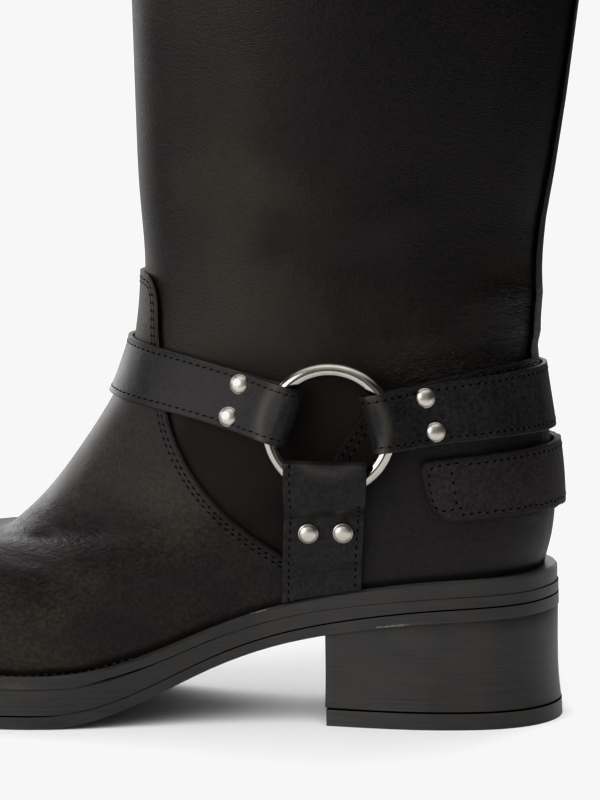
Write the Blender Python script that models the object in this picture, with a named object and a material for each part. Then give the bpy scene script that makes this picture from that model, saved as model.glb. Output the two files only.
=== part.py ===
"""Left biker boot with a ring harness: black leather upper on a layered rubber sole.

Stations are millimetres forward of the back of the heel, heights are millimetres above the floor.
The toe points along -X, the outer (lateral) side of the foot faces -Y and the shaft rises along +Z.
"""

import math
from collections import namedtuple

import bmesh
import bpy
import numpy as np

MM = 0.001

# Driving sizes of the boot
SOLE_LENGTH = 270.0
SHAFT_HEIGHT = 312.0
WALL = 2.0
GAP = 0.3
FRAME_STATION = 129.8
HEEL_AXIS_Y = 0.7

# Leather laid on the upper, measured outwards from its face
PANEL_FACE = 1.7
BACKSTAY_FACE = 2.0
BACKSTAY_WIDTH = 19.0

# Harness: ring, straps and rivets
RING_STATION = 73.4
RING_HEIGHT = 100.1
RING_RADIUS = 19.7
WIRE_RADIUS = 2.3
WIRE_PLAY = 0.4
STRAP_LEATHER = 1.6
STRAP_SEAT = BACKSTAY_FACE + GAP
WIRE_SEAT = STRAP_SEAT + STRAP_LEATHER + WIRE_PLAY + WIRE_RADIUS
LOWER_SEAT_LIFT = 0.6
RIVET_RADIUS = 3.3
RIVET_RISE = 2.0
RIVET_REACH = 33.0
RETURN_REACH = 41.0
TAB_LEATHER = 2.2
TAB_SEAT = STRAP_SEAT + 0.4

# Heel
HEEL_BREAST = 76.0
TOP_LIFT = 5.6
INSOLE_THICK = 3.0

# Facets
AROUND = 32
SOLE_AROUND = 40
RING_FACETS = (24, 8)
RIVET_FACETS = (10, 2)

# Half-widths are given at these shares of a section's length, from its back to its front
STATIONS = np.array([0.0, 0.14, 0.36, 0.66, 0.86, 1.0])

Section = namedtuple(
    "Section", "name back_at back_z front_at front_z heel waist ball toe follow steps"
)
# The sections of the last, from the sole's edge to the collar. Each is a loop tilted between a point on the
# back line and a point on the front line. follow is how closely it keeps to the sole's curve, steps is the
# number of rings up to the next section.
SECTIONS = (
    Section("feather", 8.6, 45.9, 260.5, 20.0, 29.5, 27.5, 42.0, 34.0, 1.00, 1),
    Section("welt", 7.0, 53.5, 263.0, 29.5, 31.0, 29.5, 43.8, 35.6, 1.00, 2),
    Section("toe_wall", 5.2, 61.0, 262.5, 38.5, 32.0, 32.0, 44.6, 36.0, 0.95, 2),
    Section("toe_break", 4.3, 68.5, 256.0, 47.5, 32.2, 33.8, 43.0, 34.5, 0.85, 2),
    Section("toe_box", 4.3, 75.0, 238.0, 54.0, 32.0, 35.0, 40.0, 31.5, 0.70, 1),
    Section("vamp", 4.9, 83.5, 212.0, 55.5, 31.6, 35.8, 37.6, 28.5, 0.50, 1),
    Section("break", 5.7, 90.0, 191.0, 57.0, 31.0, 36.2, 36.6, 27.0, 0.34, 2),
    Section("instep_low", 6.5, 96.5, 176.0, 67.6, 30.5, 36.5, 36.2, 26.5, 0.20, 2),
    Section("instep", 7.6, 104.0, 159.5, 88.5, 29.8, 36.4, 35.8, 26.0, 0.08, 2),
    Section("throat", 9.8, 119.0, 144.2, 116.0, 28.2, 35.8, 35.2, 25.2, 0.00, 2),
    Section("ankle", 11.2, 147.0, 139.9, 147.0, 26.4, 35.0, 34.6, 24.8, 0.00, 2),
    Section("shaft", 7.0, 178.5, 142.0, 178.5, 26.6, 35.8, 35.4, 25.2, 0.00, 2),
    Section("calf", -1.2, 237.0, 144.0, 237.0, 29.6, 40.0, 39.4, 28.0, 0.00, 2),
    Section("collar", -8.5, SHAFT_HEIGHT, 146.5, SHAFT_HEIGHT, 32.2, 44.0, 43.0, 30.5, 0.00, 0),
)

SoleRow = namedtuple("SoleRow", "at underside outsole midsole welt")
# The sole in profile: height of its underside, then the thickness of each layer
SOLE_ROWS = (
    SoleRow(0.0, 37.4, 4.4, 3.6, 5.6),
    SoleRow(40.0, 35.6, 4.4, 3.7, 5.6),
    SoleRow(76.0, 30.9, 4.0, 4.4, 4.8),
    SoleRow(99.0, 25.0, 3.9, 4.9, 4.3),
    SoleRow(116.0, 18.2, 4.0, 5.5, 4.2),
    SoleRow(132.0, 10.2, 4.2, 6.4, 4.4),
    SoleRow(149.0, 3.2, 4.4, 7.6, 4.6),
    SoleRow(166.0, 0.0, 4.6, 8.4, 4.6),
    SoleRow(215.0, 0.0, 4.6, 8.4, 4.6),
    SoleRow(245.0, 3.0, 4.6, 8.0, 4.6),
    SoleRow(270.0, 8.5, 4.6, 7.6, 4.6),
)
SoleWidth = namedtuple("SoleWidth", "heel waist ball toe")
SOLE_WIDTH = SoleWidth(heel=34.6, waist=32.6, ball=47.6, toe=39.2)

Swing = namedtuple("Swing", "at shift")
# How far the middle of the foot lies towards the big toe (+) or the little toe (-)
SWINGS = (
    Swing(0.0, 0.0),
    Swing(50.0, -0.6),
    Swing(98.0, -2.2),
    Swing(176.0, -2.6),
    Swing(228.0, 0.8),
    Swing(270.0, 4.0),
)

SeamPoint = namedtuple("SeamPoint", "at z")
# Back edge of the vamp, from the rounded top of its tongue at the front of the shaft down to the sole
VAMP_EDGE = (
    SeamPoint(136.6, 148.6),
    SeamPoint(134.4, 145.5),
    SeamPoint(133.1, 139.0),
    SeamPoint(132.5, 127.0),
    SeamPoint(129.4, 106.0),
    SeamPoint(126.4, 96.0),
    SeamPoint(120.8, 86.1),
    SeamPoint(114.3, 77.9),
    SeamPoint(106.0, 69.8),
    SeamPoint(97.8, 63.1),
    SeamPoint(89.9, 57.6),
    SeamPoint(82.0, 51.5),
    SeamPoint(78.5, 46.0),
    SeamPoint(78.5, 30.0),
)
# Front and top edge of the heel counter, from the sole up and back to the backstay
COUNTER_EDGE = (
    SeamPoint(77.0, 36.0),
    SeamPoint(76.0, 62.0),
    SeamPoint(75.0, 80.0),
    SeamPoint(72.8, 88.9),
    SeamPoint(68.6, 96.6),
    SeamPoint(63.7, 103.2),
    SeamPoint(58.5, 108.6),
    SeamPoint(48.0, 113.6),
    SeamPoint(34.1, 117.0),
    SeamPoint(18.0, 119.6),
    SeamPoint(-20.0, 123.0),
)

Band = namedtuple("Band", "z_at_ring slope bend width_at_ring width_far")
# Height of each strap's middle against the distance from the ring, and its width at both ends
FRONT_BAND = Band(RING_HEIGHT, 0.32, -0.0015, 19.5, 20.5)
REAR_BAND = Band(RING_HEIGHT, 0.20, -0.0014, 18.5, 21.5)
TAB_BAND = Band(77.6, 0.065, 0.0, 20.6, 20.6)
LOWER_STRAP_WIDTH = 25.0
LOWER_STRAP_FOOT = 25.0
LOWER_STRAP_LEAN = 0.05
LOWER_STRAP_CLEAR = 1.2
LOWER_RIVET_REACH = 33.2
BAND_LANES = (-1.0, -0.58, 0.58, 1.0)
LOWER_LANES = (-1.0, -0.46, 0.46, 1.0)
TAB_FRONT = 44.5
TAB_SLANT = 4.5
TAB_CORNER = 3.0
TAB_LANES = (-1.0, -0.33, 0.33, 1.0)

Finish = namedtuple("Finish", "colour roughness metallic")
LEATHER = Finish((0.021, 0.019, 0.018), 0.5, 0.0)
RUBBER = Finish((0.045, 0.041, 0.038), 0.55, 0.0)
LINING = Finish((0.10, 0.075, 0.05), 0.7, 0.0)
NICKEL = Finish((0.72, 0.69, 0.64), 0.22, 1.0)


# Interpolation


def hermite(x, knots, values, slopes):
    """Cubic through the knots. values and slopes hold one column per knot."""
    i = np.clip(np.searchsorted(knots, x, side="right") - 1, 0, len(knots) - 2)
    width = knots[i + 1] - knots[i]
    t = (x - knots[i]) / width
    pick = (Ellipsis, i) if values.ndim == 1 else (np.arange(len(x)), i)
    after = (Ellipsis, i + 1) if values.ndim == 1 else (np.arange(len(x)), i + 1)
    rise = t * t * (3 - 2 * t)
    return (
        values[pick] * (1 - rise)
        + values[after] * rise
        + slopes[pick] * width * t * (1 - t) ** 2
        - slopes[after] * width * t * t * (1 - t)
    )


def free_slopes(knots, values):
    """Slopes of a smooth curve: each knot takes the slope between its neighbours."""
    inner = (values[..., 2:] - values[..., :-2]) / (knots[2:] - knots[:-2])
    first = (values[..., 1:2] - values[..., :1]) / (knots[1] - knots[0])
    last = (values[..., -1:] - values[..., -2:-1]) / (knots[-1] - knots[-2])
    return np.concatenate([first, inner, last], axis=-1)


def level_slopes(knots, values):
    """Slopes that keep a level stretch level and add no waves."""
    steps = np.diff(values) / np.diff(knots)
    slopes = np.zeros(len(knots))
    slopes[0], slopes[-1] = steps[0], steps[-1]
    for i in range(1, len(knots) - 1):
        if steps[i - 1] * steps[i] > 0:
            slopes[i] = 2 / (1 / steps[i - 1] + 1 / steps[i])
    return slopes


def table_curve(rows, column, x):
    """One column of a table against its first column."""
    knots = np.array([row.at for row in rows])
    values = np.array([getattr(row, column) for row in rows])
    return hermite(np.asarray(x, float), knots, values, level_slopes(knots, values))


def ease(x, start, end):
    """0 before start, 1 after end, smooth between."""
    t = np.clip((np.asarray(x, float) - start) / (end - start), 0, 1)
    return t * t * (3 - 2 * t)


# The sole's own lines


def underside(at):
    return table_curve(SOLE_ROWS, "underside", at)


def outsole_top(at):
    return underside(at) + table_curve(SOLE_ROWS, "outsole", at)


def midsole_top(at):
    return outsole_top(at) + table_curve(SOLE_ROWS, "midsole", at)


def welt_top(at):
    return midsole_top(at) + table_curve(SOLE_ROWS, "welt", at)


def swing(at):
    return table_curve(SWINGS, "shift", np.clip(at, 0, SOLE_LENGTH))


def fullness(widths, length):
    """Width over the sine of the angle at each station, with round ends as wide as the stations beside them."""
    sine = 2 * np.sqrt(STATIONS[1:-1] * (1 - STATIONS[1:-1]))
    back = np.sqrt(widths[..., :1] * length / 2)
    front = np.sqrt(widths[..., -1:] * length / 2)
    return np.concatenate([back, widths / sine, front], axis=-1)


def sole_loop(angle, inset=0.0):
    """Station and Y of the sole's outline. Angle 0 is the back, half a turn is the toe by the lateral side."""
    length = SOLE_LENGTH - 2 * inset
    share = (1 - np.cos(angle)) / 2
    full = fullness(np.array(SOLE_WIDTH) - inset, length)
    at = inset + length * share
    return at, swing(at) - np.sin(angle) * hermite(share, STATIONS, full, free_slopes(STATIONS, full))


# The upper's own function

SECTION_TABLE = np.array([section[1:-1] for section in SECTIONS])
SECTION_INDEX = np.arange(len(SECTIONS), dtype=float)


def upper_point(level, angle):
    """Point on the upper's outer face: level counts sections upwards, angle runs as in sole_loop."""
    level, angle = np.broadcast_arrays(np.asarray(level, float), np.asarray(angle, float))
    shape, level, angle = level.shape, level.ravel(), angle.ravel()
    columns = []
    for column in SECTION_TABLE.T:
        columns.append(hermite(level, SECTION_INDEX, column, free_slopes(SECTION_INDEX, column)))
    back_at, back_z, front_at, front_z = columns[:4]
    widths, follow = np.stack(columns[4:8], axis=-1), columns[8]
    share = (1 - np.cos(angle)) / 2
    length = (front_at - back_at)[:, None]
    full = fullness(widths, length)
    half = hermite(share, STATIONS, full, free_slopes(STATIONS, full))
    at = back_at + (front_at - back_at) * share
    ends = midsole_top(back_at) * (1 - share) + midsole_top(front_at) * share
    z = back_z * (1 - share) + front_z * share + follow * (midsole_top(at) - ends)
    y = follow * swing(at) - np.sin(angle) * half
    return np.stack([at, y, z], axis=-1).reshape(shape + (3,))


def upper_normal(level, angle):
    """Outward unit normal of the upper's face."""
    step_level, step_angle = 0.02, 0.01
    top = len(SECTIONS) - 1.0
    low, high = np.clip(level - step_level, 0, top), np.clip(level + step_level, 0, top)
    up = upper_point(high, angle) - upper_point(low, angle)
    round_ = upper_point(level, angle + step_angle) - upper_point(level, angle - step_angle)
    normal = np.cross(round_, up)
    return normal / np.linalg.norm(normal, axis=-1, keepdims=True)


def upper_offset(level, angle, out):
    return upper_point(level, angle) + np.asarray(out)[..., None] * upper_normal(level, angle)


def solve(rises, low, high, rounds=26):
    """Where a rising function crosses zero, for arrays of unknowns, by halving."""
    low, high = np.array(low, float), np.array(high, float)
    for _ in range(rounds):
        middle = (low + high) / 2
        above = rises(middle) > 0
        high = np.where(above, middle, high)
        low = np.where(above, low, middle)
    return (low + high) / 2


def level_where(angle, height):
    """Level at which the face meets height(station) on the line of that angle."""
    top = np.full(np.shape(angle), len(SECTIONS) - 1.0)

    def above(level):
        point = upper_point(level, angle)
        return point[..., 2] - height(point[..., 0])

    return solve(above, np.zeros(np.shape(angle)), top)


def on_side(at, z, side):
    """Level and angle of the point seen at that station and height from one side, -1 lateral or 1 medial."""
    at, z = np.broadcast_arrays(np.asarray(at, float), np.asarray(z, float))

    def ahead(angle):
        level = level_where(angle, lambda _: z)
        return upper_point(level, angle)[..., 0] - at

    angle = solve(ahead, np.full(at.shape, 0.05), np.full(at.shape, math.pi - 0.05), rounds=22)
    return level_where(-side * angle, lambda _: z), -side * angle


# Mesh helpers


def in_frame(points):
    """Stations and heights in millimetres to the part's frame in metres."""
    points = np.asarray(points, float)
    return np.stack(
        [FRAME_STATION - points[..., 0], points[..., 1] + HEEL_AXIS_Y, points[..., 2]], axis=-1
    ) * MM


def material(name, finish):
    made = bpy.data.materials.get(name) or bpy.data.materials.new(name)
    made.use_nodes = True
    shader = made.node_tree.nodes["Principled BSDF"]
    shader.inputs["Base Color"].default_value = (*finish.colour, 1.0)
    shader.inputs["Roughness"].default_value = finish.roughness
    shader.inputs["Metallic"].default_value = finish.metallic
    return made


def add_solid(name, points, faces, finish_name, finish, sharp=35.0):
    """One closed object from points in millimetres and faces by index."""
    mesh = bpy.data.meshes.new(name)
    build = bmesh.new()
    verts = [build.verts.new(p) for p in in_frame(points).reshape(-1, 3)]
    for face in faces:
        corners = list(dict.fromkeys(face))
        if len(corners) > 2:
            build.faces.new([verts[i] for i in corners])
    bmesh.ops.recalc_face_normals(build, faces=build.faces)
    build.to_mesh(mesh)
    build.free()
    mesh.shade_smooth()
    mesh.set_sharp_from_angle(angle=math.radians(sharp))
    obj = bpy.data.objects.new(name, mesh)
    obj.data.materials.append(material(finish_name, finish))
    bpy.context.scene.collection.objects.link(obj)
    return obj


def sheet_faces(rows, columns, wrap, first=0):
    """Quads of a grid of rows and columns. wrap joins the last column to the first."""
    faces = []
    for row in range(rows - 1):
        for column in range(columns if wrap else columns - 1):
            a = first + row * columns + column
            b = first + row * columns + (column + 1) % columns
            faces.append((a, b, b + columns, a + columns))
    return faces


def strip_faces(one, other):
    """Quads between two lists of point numbers of equal length."""
    return [(one[i], one[i + 1], other[i + 1], other[i]) for i in range(len(one) - 1)]


def wall_solid(name, outer, inner, finish_name, finish):
    """A tube wall between two grids of rings, open at its top and bottom ring."""
    rings, around = outer.shape[:2]
    count = rings * around
    faces = []
    for a, b, c, d in sheet_faces(rings, around, True) + sheet_faces(rings, around, True, count):
        faces += [(a, b, c), (a, c, d)]
    for row in (0, (rings - 1) * around):
        loop = [row + i for i in range(around)] + [row]
        faces += strip_faces(loop, [count + i for i in loop])
    return add_solid(name, np.concatenate([outer.reshape(-1, 3), inner.reshape(-1, 3)]), faces, finish_name, finish)


def plate_solid(name, loops, pairs, finish_name, finish):
    """A plate from loops stacked downwards. pairs are the points that face each other across it."""
    around = len(loops[0])
    faces = sheet_faces(len(loops), around, True)
    for first in (0, (len(loops) - 1) * around):
        one = [first + a for a, _ in pairs]
        other = [first + b for _, b in pairs]
        faces += strip_faces(one, other)
    return add_solid(name, np.concatenate(loops), faces, finish_name, finish)


def prism(name, outline, low_y, high_y):
    """A hidden cutter: an outline in the side view, extruded across the boot."""
    count = len(outline)
    points = [(at, y, z) for y in (low_y, high_y) for at, z in outline]
    faces = [tuple(range(count)), tuple(range(2 * count - 1, count - 1, -1))]
    faces += [(i, (i + 1) % count, count + (i + 1) % count, count + i) for i in range(count)]
    cutter = add_solid(name, points, faces, "cutter", LEATHER)
    cutter.hide_render = True
    cutter.display_type = "WIRE"
    return cutter


def keep_inside(obj, cutter):
    cut = obj.modifiers.new("keep", "BOOLEAN")
    cut.operation = "INTERSECT"
    cut.object = cutter


# Upper and the panels laid on it


def ring_levels():
    """The levels at which the upper has a ring of facets."""
    levels = []
    for index, section in enumerate(SECTIONS):
        levels += [index + step / section.steps for step in range(section.steps)]
    return np.array(levels + [len(SECTIONS) - 1.0])


def shell(out):
    """Grid of the upper's face at that distance outwards."""
    level, angle = np.meshgrid(ring_levels(), np.linspace(0, 2 * math.pi, AROUND, endpoint=False), indexing="ij")
    return upper_offset(level, angle, np.full(level.shape, out))


def build_upper():
    wall_solid("upper", shell(0.0), shell(-WALL), "leather", LEATHER)


def build_panel(name, face, outline, low_y, high_y):
    """A panel of leather, cut by an outline in the side view out of a wall laid round the upper."""
    panel = wall_solid(name, shell(face), shell(GAP), "leather", LEATHER)
    keep_inside(panel, prism(name + "_outline", outline, low_y, high_y))


def build_panels():
    far, beyond, floor = 200.0, SOLE_LENGTH + 30.0, 0.0
    tongue_top = VAMP_EDGE[0].z
    build_panel("vamp", PANEL_FACE, [*VAMP_EDGE, (beyond, floor), (beyond, tongue_top)], -far, far)
    edge = BACKSTAY_WIDTH / 2 + GAP
    counter = [*COUNTER_EDGE, (COUNTER_EDGE[-1].at, floor), (COUNTER_EDGE[0].at, floor)]
    build_panel("counter_lateral", PANEL_FACE, counter, -far, -edge)
    build_panel("counter_medial", PANEL_FACE, counter, edge, far)
    half = SOLE_LENGTH / 4
    strip = [(-half, floor), (half, floor), (half, SHAFT_HEIGHT + far), (-half, SHAFT_HEIGHT + far)]
    build_panel("backstay", BACKSTAY_FACE, strip, -BACKSTAY_WIDTH / 2, BACKSTAY_WIDTH / 2)


# Sole, heel and insole


def loop_pairs(count, closed_front):
    """Numbers of the points across from each other on a loop that starts at the back."""
    half = count // 2 if closed_front else count // 2 + 1
    return [(i, (count - i) % count) for i in range(half + 1 if closed_front else half)]


def sole_angles():
    return np.linspace(0, 2 * math.pi, SOLE_AROUND, endpoint=False)


def layer(name, top, bottom, inset, bevel):
    """A layer of the sole between two height lines, with its edges broken by a small bevel."""
    loops = []
    levels = ((top, -GAP, bevel), (top, -GAP - bevel, 0.0), (bottom, bevel, 0.0), (bottom, 0.0, bevel))
    for line, shift, draw in levels:
        at, y = sole_loop(sole_angles(), inset + draw)
        loops.append(np.stack([at, y, line(at) + shift], axis=-1))
    plate_solid(name, loops, loop_pairs(SOLE_AROUND, True), "rubber", RUBBER)


def build_welt():
    """The strip that shows round the foot of the upper, on the rim of the midsole."""
    lip, chamfer = PANEL_FACE + GAP, 0.8
    angles = sole_angles()
    inner = upper_offset(np.full(SOLE_AROUND, 1.0), angles, np.full(SOLE_AROUND, lip))
    back = upper_offset(np.full(SOLE_AROUND, 1.0), angles, np.full(SOLE_AROUND, BACKSTAY_FACE + GAP))
    near_back = (np.cos(angles) > 0.85)[:, None]
    inner = np.where(near_back, back, inner)
    corners = []
    for draw, line, shift in (
        (chamfer, welt_top, 0.0),
        (0.0, welt_top, -chamfer),
        (0.0, midsole_top, GAP + 0.2),
        (0.4, midsole_top, GAP),
    ):
        at, y = sole_loop(angles, draw)
        corners.append(np.stack([at, y, line(at) + shift], axis=-1))
    for line, shift in ((midsole_top, GAP), (welt_top, 0.0)):
        corners.append(np.stack([inner[:, 0], inner[:, 1], line(inner[:, 0]) + shift], axis=-1))
    faces = sheet_faces(len(corners), SOLE_AROUND, True)
    last = (len(corners) - 1) * SOLE_AROUND
    seam = [*range(SOLE_AROUND), 0]
    faces += strip_faces([last + i for i in seam], seam)
    add_solid("welt", np.concatenate(corners), faces, "rubber", RUBBER)


def build_sole():
    build_welt()
    layer("midsole", midsole_top, outsole_top, 0.5, 0.5)
    layer("outsole", outsole_top, underside, 0.2, 0.7)


def heel_loop(inset, narrowing):
    """The heel's outline: round the back as the sole, then straight across at the breast."""
    reach = math.acos(1 - 2 * HEEL_BREAST / SOLE_LENGTH)
    angles = reach * np.linspace(0, 1, SOLE_AROUND // 4 + 2)
    at, y = sole_loop(angles, inset)
    share = at / HEEL_BREAST
    middle = swing(at)
    half = (middle - y) - narrowing * share**2
    lateral = np.stack([at, middle - half], axis=-1)
    medial = np.stack([at, middle + half], axis=-1)
    return np.concatenate([lateral, medial[:0:-1]])


def build_heel():
    """A block that flares a little towards the floor, and the lift that it walks on."""

    def levels(rows):
        loops = []
        for inset, narrowing, height in rows:
            loop = heel_loop(inset, narrowing)
            loops.append(np.column_stack([loop, height(loop[:, 0])]))
        return loops

    def flat(z):
        return lambda at: np.full(np.shape(at), z)

    block = levels(
        (
            (1.4, 0.6, lambda at: underside(at) - GAP),
            (1.2, 1.6, flat(TOP_LIFT * 3)),
            (0.8, 3.4, flat(TOP_LIFT + GAP + 0.5)),
            (1.2, 3.4, flat(TOP_LIFT + GAP)),
        )
    )
    lift = levels(
        (
            (1.0, 3.4, flat(TOP_LIFT)),
            (0.5, 3.4, flat(TOP_LIFT - 0.5)),
            (0.3, 3.6, flat(0.6)),
            (0.9, 3.8, flat(0.0)),
        )
    )
    pairs = loop_pairs(len(block[0]), False)
    plate_solid("heel_block", block, pairs, "rubber", RUBBER)
    plate_solid("heel_top_lift", lift, pairs, "rubber", RUBBER)


def build_insole():
    """The footbed, inside the foot of the upper on the midsole."""
    angles = sole_angles()
    edge = upper_offset(np.zeros(SOLE_AROUND), angles, np.full(SOLE_AROUND, -WALL - 0.8))
    loops = []
    for shift in (GAP + INSOLE_THICK, GAP):
        loops.append(np.stack([edge[:, 0], edge[:, 1], midsole_top(edge[:, 0]) + shift], axis=-1))
    plate_solid("insole", loops, loop_pairs(SOLE_AROUND, True), "lining", LINING)


# Harness

SIDES = {"lateral": -1, "medial": 1}


class Ring:
    """Where one ring lies: its middle, and the direction that it faces."""

    def __init__(self, side):
        self.side = side
        level, angle = on_side(RING_STATION, RING_HEIGHT, side)
        foot = upper_point(level, angle)
        wire = np.array([(-1.0, 0.1), (1.0, 0.3), (0.0, -1.0)]) * RING_RADIUS
        touches = np.concatenate([wire, wire / 2])
        level, angle = on_side(RING_STATION + touches[:, 0], RING_HEIGHT + touches[:, 1], side)
        under, faces = upper_point(level, angle), upper_normal(level, angle)
        across = np.cross(under[1] - under[0], under[2] - under[0])
        self.normal = across / np.linalg.norm(across) * np.sign(across[1]) * side
        seats = under + WIRE_SEAT * faces
        rise = max((seats - foot) @ self.normal)
        self.middle = foot + rise * self.normal

    def height_over(self, foot, faces):
        """How far the ring's plane stands from points of the upper, along their normals."""
        return ((self.middle - foot) @ self.normal) / (faces @ self.normal)


class BandStrap:
    """A strap that runs round the boot from the lateral ring to the medial one."""

    def __init__(self, band, rings, forward, station=RING_STATION, slant=0.0):
        self.band, self.rings, self.forward = band, rings, forward
        starts, self.skews = [], []
        tilt = math.atan(band.slope) * (1 if forward else -1)
        reach = np.array([0.0, 1.0, -1.0]) * band.width_at_ring / 2
        for side in ("lateral", "medial"):
            at = station - reach * math.sin(tilt) + slant * np.sign(reach) / 2
            z = band.z_at_ring + band.slope * abs(station - RING_STATION) + reach * math.cos(tilt)
            _, angle = on_side(at, z, SIDES[side])
            starts.append(float(angle[0]))
            self.skews.append(float(angle[1] - angle[2]) / 2)
        turn = 2 * math.pi if forward else 0.0
        self.angles = np.linspace(starts[0], turn + starts[1], 400)
        foot, faces = self.face(self.angles, np.zeros(400))
        line = foot + WIRE_SEAT * faces
        self.run = np.concatenate([[0], np.cumsum(np.linalg.norm(np.diff(line, axis=0), axis=1))])
        self.length = self.run[-1]

    def face(self, angle, across):
        """Foot and normal on the upper, at that angle and that far across the strap."""
        sign = 1 if self.forward else -1

        def height(at):
            reach = sign * (at - RING_STATION)
            steep = np.hypot(1.0, self.band.slope + 2 * self.band.bend * reach)
            return self.band.z_at_ring + self.band.slope * reach + self.band.bend * reach**2 + across * steep

        level = level_where(angle, height)
        return upper_point(level, angle), upper_normal(level, angle)

    def half_width(self, run):
        share = np.clip(np.minimum(run, self.length - run) / (self.length / 2), 0, 1)
        return (self.band.width_at_ring + (self.band.width_far - self.band.width_at_ring) * ease(share, 0, 1)) / 2

    def place(self, run, share):
        """Foot, normal and height of the nearer ring's plane, share of the half-width across."""
        run, share = np.broadcast_arrays(run, share)
        first = run < self.length / 2
        square = 1 - ease(np.minimum(run, self.length - run), RING_RADIUS, self.length / 2)
        angle = np.interp(run, self.run, self.angles) + share * square * np.where(first, *self.skews)
        foot, faces = self.face(angle, share * self.half_width(run))
        heights = [ring.height_over(foot, faces) for ring in self.rings]
        return foot, faces, np.where(first, *heights)


class LowerStrap:
    """The strap from the foot of one ring down to the welt."""

    def __init__(self, ring):
        self.ring = ring
        self.rings = [ring]
        self.length = RING_HEIGHT - float(welt_top(RING_STATION)) - LOWER_STRAP_CLEAR

    def half_width(self, run):
        return (LOWER_STRAP_WIDTH + (LOWER_STRAP_FOOT - LOWER_STRAP_WIDTH) * run / self.length) / 2

    def place(self, run, share):
        run, share = np.broadcast_arrays(run, share)
        at = RING_STATION + LOWER_STRAP_LEAN * run + share * self.half_width(run)
        foot_z = welt_top(at) + LOWER_STRAP_CLEAR
        below = ease(run, LOWER_RIVET_REACH, self.length)
        z = RING_HEIGHT - run + below * (foot_z - (RING_HEIGHT - self.length))
        level, angle = on_side(at, z, self.ring.side)
        foot, faces = upper_point(level, angle), upper_normal(level, angle)
        return foot, faces, self.ring.height_over(foot, faces)


LOOP = WIRE_RADIUS + WIRE_PLAY + STRAP_LEATHER / 2
LOW_LAYER = STRAP_SEAT + STRAP_LEATHER / 2
HIGH_LAYER = LOW_LAYER + STRAP_LEATHER + GAP

PathPoint = namedtuple("PathPoint", "run rise hold over")
# A strap's path: distance from the ring's middle, height if it lay on the boot, how far the ring holds it
# instead (0 to 1), and its height over the ring's plane where the ring does


def loop_path(half_width, rivet_reach, return_reach, bends=5):
    """The end of a strap, from the cut end of its return round the ring's wire and back over itself."""
    hole = RING_RADIUS - WIRE_RADIUS
    turn = math.sqrt(hole**2 - (half_width + 3 * WIRE_PLAY) ** 2) + WIRE_RADIUS
    lift_from, lift_to = RING_RADIUS + 9.0, RING_RADIUS + 1.0
    path = [PathPoint(return_reach, LOW_LAYER, 0.0, -LOOP)]
    for run in (lift_from, (lift_from + lift_to) / 2, lift_to):
        path.append(PathPoint(run, LOW_LAYER, float(ease(-run, -lift_from, -lift_to)), -LOOP))
    for step in range(bends + 1):
        bend = math.pi * step / bends
        path.append(PathPoint(turn - LOOP * math.sin(bend), LOW_LAYER, 1.0, -LOOP * math.cos(bend)))
    for run in (lift_to, (lift_from + lift_to) / 2, lift_from):
        path.append(PathPoint(run, HIGH_LAYER, float(ease(-run, -lift_from, -lift_to)), LOOP))
    path.append(PathPoint(rivet_reach, HIGH_LAYER, 0.0, LOOP))
    path.append(PathPoint(return_reach, HIGH_LAYER, 0.0, LOOP))
    path.append(PathPoint(return_reach + 3.5, (HIGH_LAYER + LOW_LAYER) / 2, 0.0, LOOP))
    path.append(PathPoint(return_reach + 7.0, LOW_LAYER, 0.0, LOOP))
    return path


def ribbon_solid(name, strap, path, thickness, shares):
    """Leather of even thickness along a path of runs and rises on a strap's course."""
    run = np.array([point.run for point in path])
    hold = np.array([point.hold for point in path])
    _, _, plane = strap.place(run, 0.0)
    held = plane + np.array([point.over for point in path])
    rise = np.array([point.rise for point in path]) * (1 - hold) + held * hold
    along = np.gradient(np.stack([run, rise], axis=-1), axis=0)
    along /= np.linalg.norm(along, axis=1, keepdims=True)
    side = np.stack([-along[:, 1], along[:, 0]], axis=-1)
    points = []
    for half in (-thickness / 2, thickness / 2):
        edge_run, edge_rise = run + half * side[:, 0], rise + half * side[:, 1]
        for share in shares:
            foot, faces, here = strap.place(edge_run, share)
            out = edge_rise + hold * (here - plane)
            points.append(foot + out[:, None] * faces)
    count, lanes = len(path), len(shares)
    faces = sheet_faces(lanes, count, False) + sheet_faces(lanes, count, False, lanes * count)
    for lane in (0, lanes - 1):
        one = [lane * count + i for i in range(count)]
        faces += strip_faces(one, [lanes * count + i for i in one])
    for end in (0, count - 1):
        one = [lane * count + end for lane in range(lanes)]
        faces += strip_faces(one, [lanes * count + i for i in one])
    return add_solid(name, np.concatenate(points), faces, "leather", LEATHER)


def band_path(strap, spacing=8.0):
    """Path of a whole harness strap: a loop at each ring, and the plain run between them."""
    start = loop_path(strap.band.width_at_ring / 2, RIVET_REACH, RETURN_REACH)
    free = strap.length - 2 * start[-1].run
    count = max(2, round(free / spacing))
    middle = []
    for step in range(1, count):
        middle.append(PathPoint(start[-1].run + free * step / count, LOW_LAYER, 0.0, 0.0))
    end = [point._replace(run=strap.length - point.run) for point in reversed(start)]
    return start + middle + end


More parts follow.
